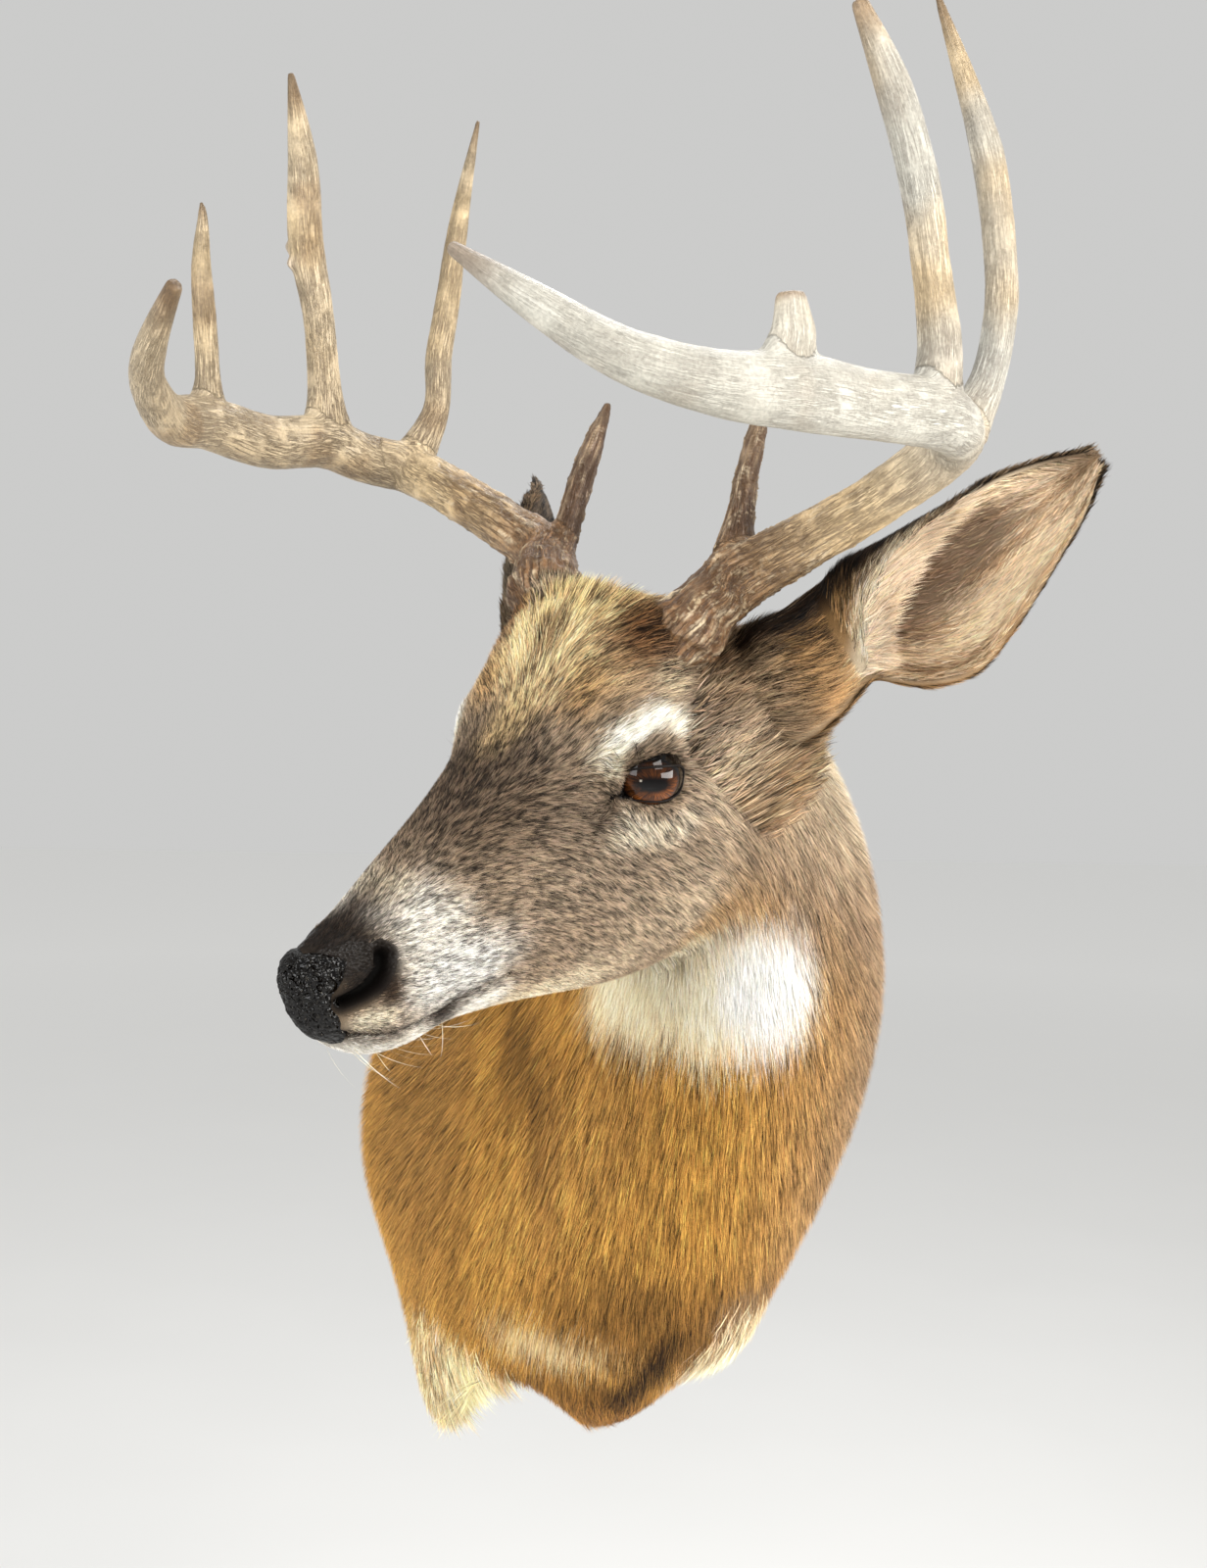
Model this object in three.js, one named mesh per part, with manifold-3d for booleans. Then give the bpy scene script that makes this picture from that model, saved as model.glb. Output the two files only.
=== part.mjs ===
// Whitetail buck shoulder mount, life size, in millimetres.
// +Z is up, +X is to the viewer's right and the mount faces -Y, away from the wall.
// The origin is the middle of the backboard's rear face, which lies against the wall.
import * as THREE from "three";
import { mergeVertices } from "three/addons/utils/BufferGeometryUtils.js";
import Module from "manifold-3d";

const wasm = await Module();
wasm.setup();

const { clamp, degToRad, lerp } = THREE.MathUtils;
const point = ([x, y, z]) => new THREE.Vector3(x, y, z);
const GAP = 0.3; // clearance between pieces that meet

// ---------------------------------------------------------------------------
// Head frame: origin midway between the eyes, +X to the buck's left, +Y to the
// back of the skull, +Z to the crown. The buck looks down and to its right.
const HEAD_AT = [-43, -376, 239];
const HEAD_TURN = degToRad(-44);
const HEAD_NOD = degToRad(17.5);
const HEAD_TILT = degToRad(2);
const headMatrix = new THREE.Matrix4().compose(
  point(HEAD_AT),
  new THREE.Quaternion().setFromEuler(new THREE.Euler(HEAD_NOD, HEAD_TILT, HEAD_TURN, "ZXY")),
  new THREE.Vector3(1, 1, 1),
);
const fromHead = (at) => point(at).applyMatrix4(headMatrix);
const headDirection = (at) => point(at).transformDirection(headMatrix);

// ---------------------------------------------------------------------------
// Flesh. Each section has its ridge and keel on the midline, a half width, the
// height where it is widest, and how square it is above and below that height.
const HEAD_SECTIONS = [
  // y, ridge, keel, half width, widest, square above, square below
  [-193, -28, -44, 4, -36, 2.0, 2.0],
  [-189, -23, -56, 12, -39, 2.2, 2.2],
  [-181, -21, -68, 19, -43, 2.3, 2.2],
  [-167, -19, -79, 26, -46, 2.3, 2.2],
  [-148, -13, -84, 30, -47, 2.2, 2.3],
  [-120, -1, -85, 33, -43, 2.2, 2.3],
  [-85, 13, -93, 38, -37, 2.2, 2.2],
  [-52, 27, -103, 46, -22, 2.2, 2.1],
  [-28, 39, -111, 54, -8, 2.3, 2.0],
  [-6, 60, -117, 59, 0, 2.4, 2.0],
  [14, 76, -121, 61, 2, 2.4, 2.0],
  [40, 80, -125, 63, 0, 2.4, 2.0],
];

// Neck and chest sections: keel (throat or brisket) and ridge (nape) in the part's own frame.
const NECK_SECTIONS = [
  // keel, ridge, half width, turn of the section in degrees, square above, square below
  [[10, -318, 124], [34, -298, 312], 71, -42, 2.0, 2.0],
  [[18, -306, 62], [52, -246, 288], 89, -34, 1.85, 2.1],
  [[14, -284, -20], [58, -178, 268], 110, -24, 1.8, 2.1],
  [[2, -240, -110], [50, -104, 252], 132, -14, 1.85, 2.1],
  [[-10, -166, -184], [32, -30, 238], 151, -6, 2.0, 2.0],
  [[-18, -66, -224], [22, 52, 224], 164, 0, 2.2, 1.9],
  [[-20, 40, -240], [18, 140, 206], 168, 0, 2.2, 1.9],
];

// Forms that stand proud of the sections or sink into them, on both sides of the head.
const HEAD_FORMS = [
  // at, reach, push
  { at: [56, -6, 24], reach: [16, 26, 12], push: [5, 0, 3] }, // brow
  { at: [60, -12, 0], reach: [14, 18, 10], push: [-5, 1, 0] }, // eye socket
  { at: [54, 10, -22], reach: [18, 34, 14], push: [4, 0, 0] }, // cheek bone
  { at: [50, 30, -70], reach: [22, 34, 30], push: [6, 0, -2] }, // jaw muscle
  { at: [44, -62, 4], reach: [12, 26, 16], push: [-5, 0, -2] }, // hollow before the eye
  { at: [44, 48, 62], reach: [20, 20, 20], push: [5, 2, 8] }, // pedicle
  { at: [26, -168, -66], reach: [14, 20, 8], push: [3, -1, -1] }, // upper lip
  { at: [60, 76, 4], reach: [26, 30, 32], push: [4, -2, 0] }, // root of the ear
];

const CHEST_FORMS = [
  { at: [-53, -10, -236], reach: [22, 110, 80], push: [0, 10, 88] }, // armpit, right foreleg
  { at: [44, -10, -240], reach: [30, 90, 70], push: [0, 6, 50] }, // armpit, left foreleg
  { at: [-112, 0, -190], reach: [36, 70, 60], push: [-8, 0, -60] }, // top of the right foreleg
  { at: [82, 0, -190], reach: [28, 60, 50], push: [4, 0, -22] }, // top of the left foreleg
  { at: [-150, -20, -50], reach: [60, 120, 90], push: [-10, 0, 0] }, // right shoulder
  { at: [140, -120, -60], reach: [70, 120, 110], push: [-22, 0, 10] }, // left shoulder
  { at: [50, -140, -170], reach: [34, 90, 60], push: [0, 0, 12] }, // beside the brisket
];

function headStation([y, ridge, keel, half, widest, above, below]) {
  return {
    keel: fromHead([0, y, keel]),
    ridge: fromHead([0, y, ridge]),
    side: headDirection([1, 0, 0]),
    half,
    widest: (widest - keel) / (ridge - keel),
    above,
    below,
  };
}

function neckStation([keel, ridge, half, turn, above, below]) {
  const side = new THREE.Vector3(Math.cos(degToRad(turn)), Math.sin(degToRad(turn)), 0);
  return { keel: point(keel), ridge: point(ridge), side, half, widest: 0.5, above, below };
}

const STATIONS = [...HEAD_SECTIONS.map(headStation), ...NECK_SECTIONS.map(neckStation)];

// Catmull-Rom through four neighbouring values, numbers or vectors.
function through(a, b, c, d, t) {
  if (a.isVector3) {
    return new THREE.Vector3(
      through(a.x, b.x, c.x, d.x, t),
      through(a.y, b.y, c.y, d.y, t),
      through(a.z, b.z, c.z, d.z, t),
    );
  }
  const slopeB = (c - a) / 2;
  const slopeC = (d - b) / 2;
  const t2 = t * t;
  const t3 = t2 * t;
  return (
    (2 * t3 - 3 * t2 + 1) * b + (t3 - 2 * t2 + t) * slopeB + (3 * t2 - 2 * t3) * c + (t3 - t2) * slopeC
  );
}

function stationAt(u) {
  const last = STATIONS.length - 1;
  const i = Math.min(Math.floor(u), last - 1);
  const near = [i - 1, i, i + 1, i + 2].map((k) => STATIONS[Math.max(0, Math.min(last, k))]);
  const mix = (key) => through(near[0][key], near[1][key], near[2][key], near[3][key], u - i);
  const station = {};
  for (const key of Object.keys(STATIONS[0])) station[key] = mix(key);
  return station;
}

const power = (value, exponent) => Math.sign(value) * Math.abs(value) ** exponent;

function pushed(at, forms, mirror) {
  const moved = at.clone();
  for (const { at: centre, reach, push } of forms) {
    for (const s of mirror ? [1, -1] : [1]) {
      const d = at.clone().sub(new THREE.Vector3(s * centre[0], centre[1], centre[2]));
      const fall = Math.exp(-((d.x / reach[0]) ** 2 + (d.y / reach[1]) ** 2 + (d.z / reach[2]) ** 2));
      moved.add(new THREE.Vector3(s * push[0], push[1], push[2]).multiplyScalar(fall));
    }
  }
  return moved;
}

const toHead = headMatrix.clone().invert();

// A point of the coat's outline. angle runs from the ridge over the buck's left side.
function fleshPoint(u, angle, swell) {
  const { keel, ridge, side, half, widest, above, below } = stationAt(u);
  const up = ridge.clone().sub(keel);
  const height = up.length();
  up.normalize();
  const waist = height * widest;
  const square = 2 / (Math.cos(angle) > 0 ? above : below);
  const rise = Math.cos(angle) > 0 ? height - waist : waist;
  const x = (half + swell) * power(Math.sin(angle), square);
  const z = waist + (rise + swell) * power(Math.cos(angle), square);
  const at = keel.clone().addScaledVector(up, z).addScaledVector(side, x);
  const shaped = pushed(at.applyMatrix4(toHead), HEAD_FORMS, true).applyMatrix4(headMatrix);
  return pushed(shaped, CHEST_FORMS, false);
}

// ---------------------------------------------------------------------------
// Solids

// Rings of equal length joined into one closed surface, with a fan at each end.
function loft(rings, startTip, endTip) {
  const count = rings[0].length;
  const vertices = [];
  const add = (p) => vertices.push(p.x, p.y, p.z);
  const middle = (ring) => ring.reduce((sum, p) => sum.add(p), new THREE.Vector3()).divideScalar(count);
  const tri = (a, b, c) => [a, b, c].forEach(add);
  for (let r = 0; r + 1 < rings.length; r++) {
    for (let i = 0; i < count; i++) {
      const j = (i + 1) % count;
      tri(rings[r][i], rings[r + 1][i], rings[r + 1][j]);
      tri(rings[r][i], rings[r + 1][j], rings[r][j]);
    }
  }
  const first = rings[0];
  const last = rings[rings.length - 1];
  const start = startTip ?? middle(first);
  const end = endTip ?? middle(last);
  for (let i = 0; i < count; i++) {
    const j = (i + 1) % count;
    tri(start, first[i], first[j]);
    tri(end, last[j], last[i]);
  }
  return new THREE.BufferGeometry().setAttribute("position", new THREE.Float32BufferAttribute(vertices, 3));
}

const MERGE_WITHIN = 1e-3;

// A closed geometry as a manifold-3d solid, its faces turned outwards.
function solid(geometry) {
  const plain = geometry.index ? geometry.toNonIndexed() : geometry.clone();
  for (const name of ["normal", "uv"]) plain.deleteAttribute(name);
  const merged = mergeVertices(plain, MERGE_WITHIN);
  const vertProperties = new Float32Array(merged.attributes.position.array);
  const triVerts = new Uint32Array(merged.index.array);
  if (signedVolume(vertProperties, triVerts) < 0) triVerts.reverse();
  return new wasm.Manifold(new wasm.Mesh({ numProp: 3, vertProperties, triVerts }));
}

function signedVolume(positions, corners) {
  const [a, b, c] = [0, 1, 2].map(() => new THREE.Vector3());
  let volume = 0;
  for (let i = 0; i < corners.length; i += 3) {
    [a, b, c].forEach((v, k) => v.fromArray(positions, corners[i + k] * 3));
    volume += a.dot(b.cross(c)) / 6;
  }
  return volume;
}

// The triangles of the largest connected body, without the crumbs a cut can leave.
function largestBody(positions, corners) {
  const parent = Array.from({ length: positions.length / 3 }, (_, i) => i);
  const find = (i) => {
    while (parent[i] !== i) i = parent[i] = parent[parent[i]];
    return i;
  };
  for (let i = 0; i < corners.length; i += 3) {
    parent[find(corners[i])] = find(corners[i + 1]);
    parent[find(corners[i + 1])] = find(corners[i + 2]);
  }
  const bodies = new Map();
  for (let i = 0; i < corners.length; i += 3) {
    const body = find(corners[i]);
    if (!bodies.has(body)) bodies.set(body, []);
    bodies.get(body).push(corners[i], corners[i + 1], corners[i + 2]);
  }
  const size = (body) => Math.abs(signedVolume(positions, body));
  return [...bodies.values()].reduce((best, body) => (size(body) > size(best) ? body : best));
}

function geometryOf(made) {
  const { vertProperties, triVerts, numProp } = made.getMesh();
  const positions = new Float32Array((vertProperties.length / numProp) * 3);
  for (let i = 0; i * numProp < vertProperties.length; i++) {
    positions.set(vertProperties.subarray(i * numProp, i * numProp + 3), i * 3);
  }
  const geometry = new THREE.BufferGeometry();
  geometry.setAttribute("position", new THREE.BufferAttribute(positions, 3));
  geometry.setIndex(largestBody(positions, triVerts));
  // Leave out the corners that no triangle uses any longer.
  return mergeVertices(geometry.toNonIndexed(), 1e-5);
}

const root = new THREE.Group();
root.name = "whitetail_shoulder_mount";

const FINISHES = {
  coat: { color: 0x8a7458, roughness: 0.85 },
  pale_coat: { color: 0xd8cbb4, roughness: 0.85 },
  nose: { color: 0x15120f, roughness: 0.35 },
  eye: { color: 0x2a1208, roughness: 0.06 },
  antler: { color: 0xc9b591, roughness: 0.5 },
  board: { color: 0xb58d5c, roughness: 0.75 },
};

function addNode(name, made, finish) {
  const material = new THREE.MeshStandardMaterial({ ...FINISHES[finish], metalness: 0, flatShading: true });
  const mesh = new THREE.Mesh(geometryOf(made), material);
  mesh.name = name;
  root.add(mesh);
}

// A prism over a profile of [y, z] points, across the whole width, in the head frame or the part's own.
const PRISM_HALF = 500;
function prism(profile, matrix) {
  const shape = new THREE.Shape(profile.map(([y, z]) => new THREE.Vector2(y, z)));
  const geometry = new THREE.ExtrudeGeometry(shape, { depth: 2 * PRISM_HALF, bevelEnabled: false });
  geometry.translate(0, 0, -PRISM_HALF);
  // The shape's plane becomes Y and Z, and the extrusion runs along X.
  const turn = new THREE.Matrix4().makeBasis(
    new THREE.Vector3(0, 1, 0),
    new THREE.Vector3(0, 0, 1),
    new THREE.Vector3(1, 0, 0),
  );
  geometry.applyMatrix4(turn);
  if (matrix) geometry.applyMatrix4(matrix);
  return solid(geometry);
}

// ---------------------------------------------------------------------------
// Flesh, parted into head, lower jaw, nose, neck and chest.
const AROUND = 30;
const CROWDING = 0.2; // sections have more points near the ridge and the keel
const ROWS_PER_STATION = [1, 2, 2, 2, 2, 3, 3, 2, 2, 2, 2, 2, 3, 3, 3, 3, 3, 1];

function fleshSolid(swell) {
  const rings = [];
  ROWS_PER_STATION.forEach((rows, i) => {
    for (let r = 0; r < rows; r++) rings.push(i + r / rows);
  });
  rings.push(STATIONS.length - 1);
  return solid(
    loft(
      rings.map((u) =>
        Array.from({ length: AROUND }, (_, k) => {
          const a = (2 * Math.PI * k) / AROUND;
          return fleshPoint(u, a - CROWDING * Math.sin(2 * a), swell);
        }),
      ),
      fromHead([0, HEAD_SECTIONS[0][0] - 1 - swell, -37]),
    ),
  );
}

const FAR = 600;
const wallBlock = (y) =>
  prism([
    [y, -FAR],
    [y + FAR, -FAR],
    [y + FAR, FAR],
    [y, FAR],
  ]);

const EYE_AT = [48, -1, -1];
const EYE_RADIUS = 18;
const EYE_RINGS = 9;
const EYE_SEGMENTS = 16;

function eyeball(side, radius) {
  const ball = new THREE.SphereGeometry(radius, EYE_SEGMENTS, EYE_RINGS);
  ball.translate(side * EYE_AT[0], EYE_AT[1], EYE_AT[2]);
  ball.applyMatrix4(headMatrix);
  return solid(ball);
}

// Mouth line from the lips to the corner, and the jaw's rear cut, as [y, z] in the head frame.
const LIP_FRONT = [-230, -50];
const LIP_CORNER = [-88, -70];
const JAW_BACK = [-70, -140];
const jawRegion = (inset) => [
  [LIP_FRONT[0], LIP_FRONT[1] - inset],
  [LIP_CORNER[0] - inset, LIP_CORNER[1] - inset],
  [JAW_BACK[0] - inset, JAW_BACK[1]],
  [LIP_FRONT[0], JAW_BACK[1]],
];

// The bare nose pad: everything before a slanting cut.
const PAD_TOP = [-166, 20];
const PAD_FOOT = [-187, -50];
const padRegion = (inset) => [
  [PAD_TOP[0] - inset, PAD_TOP[1]],
  [PAD_FOOT[0] - inset, PAD_FOOT[1] + inset],
  [-260, PAD_FOOT[1] + inset],
  [-260, PAD_TOP[1]],
];

// The head ends behind the poll and the jaw, the neck ends above the brisket.
const POLL_CUT = [78, 140];
const THROAT_CUT = [52, -200];
const headRegion = (inset) => [
  [-300, -200],
  [THROAT_CUT[0] - inset, THROAT_CUT[1]],
  [POLL_CUT[0] - inset, POLL_CUT[1]],
  [-300, POLL_CUT[1]],
];
const NECK_CUT_TOP = [-60, 400];
const NECK_CUT_FOOT = [-330, -90];
const chestRegion = (inset) => [
  [NECK_CUT_TOP[0] + inset, NECK_CUT_TOP[1]],
  [NECK_CUT_FOOT[0] + inset, NECK_CUT_FOOT[1] - inset],
  [NECK_CUT_FOOT[0] + inset, -FAR],
  [FAR, -FAR],
  [FAR, NECK_CUT_TOP[1]],
];

// Backboard: an upright oval let into the back of the form.
const BOARD_THICK = 18;
const BOARD_HALF_WIDTH = 112;
const BOARD_HALF_HEIGHT = 166;
const BOARD_CENTRE_Z = 8;
const BOARD_SQUARE = 2 / 2.5;
const BOARD_POINTS = 40;

function boardSolid(swell) {
  const shape = new THREE.Shape(
    Array.from({ length: BOARD_POINTS }, (_, k) => {
      const a = (2 * Math.PI * k) / BOARD_POINTS;
      return new THREE.Vector2(
        (BOARD_HALF_WIDTH + swell) * power(Math.cos(a), BOARD_SQUARE),
        (BOARD_HALF_HEIGHT + swell) * power(Math.sin(a), BOARD_SQUARE),
      );
    }),
  );
  const slab = new THREE.ExtrudeGeometry(shape, { depth: BOARD_THICK + 2 * swell, bevelEnabled: false });
  slab.rotateX(Math.PI / 2);
  slab.translate(0, swell, BOARD_CENTRE_Z);
  return solid(slab);
}

function buildFlesh() {
  const whole = fleshSolid(0).subtract(wallBlock(0)).subtract(boardSolid(GAP));
  const face = whole.intersect(prism(headRegion(0), headMatrix));
  const behind = whole.subtract(prism(headRegion(-GAP), headMatrix));
  const eyes = eyeball(1, EYE_RADIUS + GAP).add(eyeball(-1, EYE_RADIUS + GAP));
  const head = face
    .subtract(prism(jawRegion(-GAP), headMatrix))
    .subtract(prism(padRegion(-GAP), headMatrix))
    .subtract(eyes);
  addNode("head", head, "coat");
  addNode("lower_jaw", face.intersect(prism(jawRegion(0), headMatrix)), "pale_coat");
  addNode("nose_pad", face.intersect(prism(padRegion(0), headMatrix)), "nose");
  addNode("neck", behind.subtract(prism(chestRegion(-GAP))), "coat");
  addNode("chest", behind.intersect(prism(chestRegion(0))), "coat");
  addNode("eye_left", eyeball(1, EYE_RADIUS), "eye");
  addNode("eye_right", eyeball(-1, EYE_RADIUS), "eye");
  addNode("backboard", boardSolid(0), "board");
}

// ---------------------------------------------------------------------------
// Ears: a leaf rolled round its long axis, a tube at the base and nearly flat at the tip.
const EAR_ROOT = [44, 88, 6];
const EAR_TIP = { left: [191, 206, 105], right: [-189, 206, 90] };
const EAR_OPENS = { left: [0.69, -0.69, 0.24], right: [-0.554, -0.703, 0.457] };
const EAR_SECTIONS = [
  // share of the length, roll radius, half angle of the roll in degrees, thickness,
  // flattening, turn of the roll in degrees, offset of the roll across the ear
  [0.0, 26, 165, 18, 0.62, -65, 2],
  [0.06, 32, 165, 18, 0.62, -65, 2],
  [0.12, 33, 165, 18, 0.62, -65, 1],
  [0.2, 31, 165, 15, 0.64, -65, 1],
  [0.29, 28.5, 165, 11, 0.7, -62, -1],
  [0.34, 32, 146, 8, 0.75, -48, 2],
  [0.4, 38, 132, 7, 0.75, -33, 6],
  [0.5, 41, 113, 6, 0.7, -23, 11],
  [0.6, 38, 105, 5, 0.65, -16, 10],
  [0.7, 33, 96, 5, 0.62, -12, 7.5],
  [0.8, 27, 84, 5, 0.6, -4, 4.5],
  [0.9, 19, 76, 4, 0.6, 0, 2.7],
  [0.98, 9, 70, 3, 0.6, 0, 0.5],
];
const EAR_SLIM = { left: 1, right: 0.7 }; // share of the radius that the ear has at its base
const EAR_AROUND = 13; // points across each face
const EAR_STEPS = 2; // rings for each section

function earSolid(name, side) {
  const rootAt = fromHead([side * EAR_ROOT[0], EAR_ROOT[1], EAR_ROOT[2]]);
  const tipAt = fromHead(EAR_TIP[name]);
  const axis = tipAt.clone().sub(rootAt).normalize();
  const opens = headDirection(EAR_OPENS[name]);
  opens.addScaledVector(axis, -opens.dot(axis)).normalize();
  const across = axis.clone().cross(opens).multiplyScalar(side); // towards the lower edge
  const rings = [];
  const last = EAR_SECTIONS.length - 1;
  for (let k = 0; k <= last * EAR_STEPS; k++) {
    const i = Math.min(Math.floor(k / EAR_STEPS), last - 1);
    const t = k / EAR_STEPS - i;
    const near = [i - 1, i, i + 1, i + 2].map((n) => EAR_SECTIONS[Math.max(0, Math.min(last, n))]);
    const [share, full, roll, thick, flat, turn, offset] = [0, 1, 2, 3, 4, 5, 6].map((n) =>
      through(near[0][n], near[1][n], near[2][n], near[3][n], t),
    );
    const radius = full * lerp(EAR_SLIM[name], 1, clamp((share - 0.2) / 0.5, 0, 1));
    const spine = rootAt.clone().lerp(tipAt, share);
    const arc = (r, step) =>
      Array.from({ length: EAR_AROUND }, (_, n) => {
        const a = degToRad(lerp(-roll, roll, n / (EAR_AROUND - 1)) * step * side + turn);
        return spine
          .clone()
          .addScaledVector(opens, (radius - r * Math.cos(a)) * flat)
          .addScaledVector(across, r * Math.sin(a) + offset);
      });
    rings.push([...arc(radius, 1), ...arc(radius - thick, -1)]);
  }
  return solid(loft(rings, undefined, tipAt));
}

// ---------------------------------------------------------------------------
// Antlers, in the head frame, as points with the height and thickness of the bone there.
const BEAM_AROUND = 10;
const TINE_AROUND = 7;
const BEAM_STEP = 3; // rings for each point
const TINE_STEP = 2;

// A tapering limb through its points. faces sets which way its taller side lies.
function limb(points, faces, around, steps, swell) {
  const rings = [];
  const last = points.length - 1;
  const at = (u) => {
    const i = Math.min(Math.floor(u), last - 1);
    const near = [i - 1, i, i + 1, i + 2].map((n) => points[Math.max(0, Math.min(last, n))]);
    return [0, 1, 2, 3, 4].map((n) => through(near[0][n], near[1][n], near[2][n], near[3][n], u - i));
  };
  const place = (u) => point(at(u));
  const nudge = 0.02;
  for (let k = 0; k < last * steps; k++) {
    const u = k / steps;
    const along = place(u + nudge).sub(place(Math.max(0, u - nudge))).normalize();
    const tallWay = point(faces).addScaledVector(along, -point(faces).dot(along)).normalize();
    const thickWay = along.clone().cross(tallWay);
    const [, , , tall, thick] = at(u);
    rings.push(
      Array.from({ length: around }, (_, n) => {
        const a = (2 * Math.PI * n) / around;
        return place(u)
          .addScaledVector(tallWay, (tall / 2 + swell) * Math.cos(a))
          .addScaledVector(thickWay, (thick / 2 + swell) * Math.sin(a))
          .applyMatrix4(headMatrix);
      }),
    );
  }
  return solid(loft(rings, undefined, place(last).applyMatrix4(headMatrix)));
}

const UP = [0, 0, 1];
const BACK = [0, 1, 0];

// Each antler: the lower beam from the burr to the second tine, the upper beam to its tip, and the tines.
const ANTLERS = {
  left: {
    beam_lower: [
      [38, 34, 40, 28, 28],
      [45, 43, 50, 32, 31],
      [50, 50, 58, 39, 38],
      [55, 59, 66, 33, 32],
      [66, 74, 77, 31, 30],
      [102, 83, 94, 27, 26],
      [144, 92, 115, 25, 25],
      [174, 98, 134, 27, 25],
      [186, 90, 143, 26, 24],
    ],
    beam_upper: [
      [180, 98, 139, 27, 25],
      [192, 78, 149, 28, 24],
      [196, 52, 160, 30, 24],
      [192, 12, 172, 29, 23],
      [186, -28, 186, 31, 23],
      [174, -60, 196, 26, 21],
      [151, -86, 213, 21, 18],
      [122, -98, 236, 16, 14],
      [87, -104, 261, 6, 6],
    ],
    tines: {
      brow_tine: [[60, 76, 80, 26, 24], [57, 92, 102, 15, 14], [55, 103, 119, 12, 12], [54, 118, 138, 10, 10], [53, 132, 156, 3, 3]],
      second_tine: [[180, 100, 138, 26, 22], [180, 126, 156, 19, 16], [183, 141, 187, 17, 15], [179, 152, 224, 16, 15], [169, 163, 263, 15, 14], [149, 169, 325, 4, 4]],
      third_tine: [[196, 58, 164, 32, 20], [197, 64, 184, 22, 18], [195, 67, 219, 18, 16], [193, 67, 255, 18, 16], [185, 68, 291, 17, 15], [175, 64, 327, 8, 7]],
      fourth_tine: [[186, -28, 190, 46, 20], [186, -25, 200, 41, 17], [185, -22, 207, 27, 15], [184, -20, 214, 19, 13], [183, -18, 223, 13, 11]],
    },
  },
  right: {
    beam_lower: [
      [-36, 40, 50, 27, 27],
      [-42, 48, 63, 31, 30],
      [-47, 55, 74, 38, 37],
      [-53, 63, 80, 33, 32],
      [-64, 76, 86, 30, 30],
      [-102, 84, 101, 27, 26],
      [-144, 92, 116, 27, 26],
      [-174, 97, 125, 28, 25],
      [-186, 88, 134, 26, 24],
    ],
    beam_upper: [
      [-180, 96, 128, 28, 25],
      [-193, 78, 138, 28, 24],
      [-196, 52, 153, 29, 24],
      [-191, 11, 162, 29, 23],
      [-186, -29, 181, 28, 22],
      [-174, -60, 190, 26, 21],
      [-151, -85, 212, 21, 18],
      [-123, -98, 232, 16, 14],
      [-88, -104, 258, 8, 8],
    ],
    tines: {
      brow_tine: [[-60, 77, 84, 26, 24], [-57, 91, 98, 15, 14], [-55, 103, 118, 14, 13], [-54, 118, 136, 11, 11], [-53, 133, 154, 4, 4]],
      second_tine: [[-179, 100, 130, 26, 22], [-179, 126, 153, 16, 15], [-183, 140, 182, 16, 15], [-179, 151, 211, 15, 14], [-169, 162, 255, 11, 11], [-148, 169, 306, 3, 3]],
      third_tine: [[-196, 58, 158, 34, 22], [-197, 63, 180, 20, 18], [-195, 67, 217, 18, 16], [-193, 67, 257, 20, 18], [-185, 69, 300, 17, 15], [-175, 64, 344, 4, 4]],
      fourth_tine: [[-186, -29, 184, 32, 20], [-185, -24, 200, 15, 13], [-182, -20, 230, 13, 12], [-180, -16, 258, 11, 10], [-176, -12, 280, 6, 6], [-174, -12, 289, 3, 3]],
    },
  },
};

function buildAntler(side, { beam_lower, beam_upper, tines }, flesh) {
  const beamSolid = (points, swell) => limb(points, UP, BEAM_AROUND, BEAM_STEP, swell);
  const lower = beamSolid(beam_lower, 0).subtract(flesh);
  const upper = beamSolid(beam_upper, 0).subtract(beamSolid(beam_lower, GAP));
  addNode(`antler_${side}_beam_lower`, lower, "antler");
  addNode(`antler_${side}_beam_upper`, upper, "antler");
  const beams = beamSolid(beam_lower, GAP).add(beamSolid(beam_upper, GAP)).add(flesh);
  for (const [name, points] of Object.entries(tines)) {
    const tine = limb(points, BACK, TINE_AROUND, TINE_STEP, 0).subtract(beams);
    addNode(`antler_${side}_${name}`, tine, "antler");
  }
}

buildFlesh();
const fleshGrown = fleshSolid(GAP).subtract(wallBlock(0));
for (const [name, side] of [["left", 1], ["right", -1]]) {
  addNode(`ear_${name}`, earSolid(name, side).subtract(fleshGrown), "coat");
  buildAntler(name, ANTLERS[name], fleshGrown);
}

export default root;
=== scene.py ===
"""Whitetail buck shoulder mount: skin, coat, eyes, nose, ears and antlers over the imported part.

Sizes are in millimetres in the part's frame, as in the part's source, and become metres when a mesh is made.
The head frame has its origin midway between the eyes: +X to the buck's left, +Y to the back, +Z to the crown.
"""

import math

import bpy
import numpy as np
from mathutils import Matrix, Vector


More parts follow.
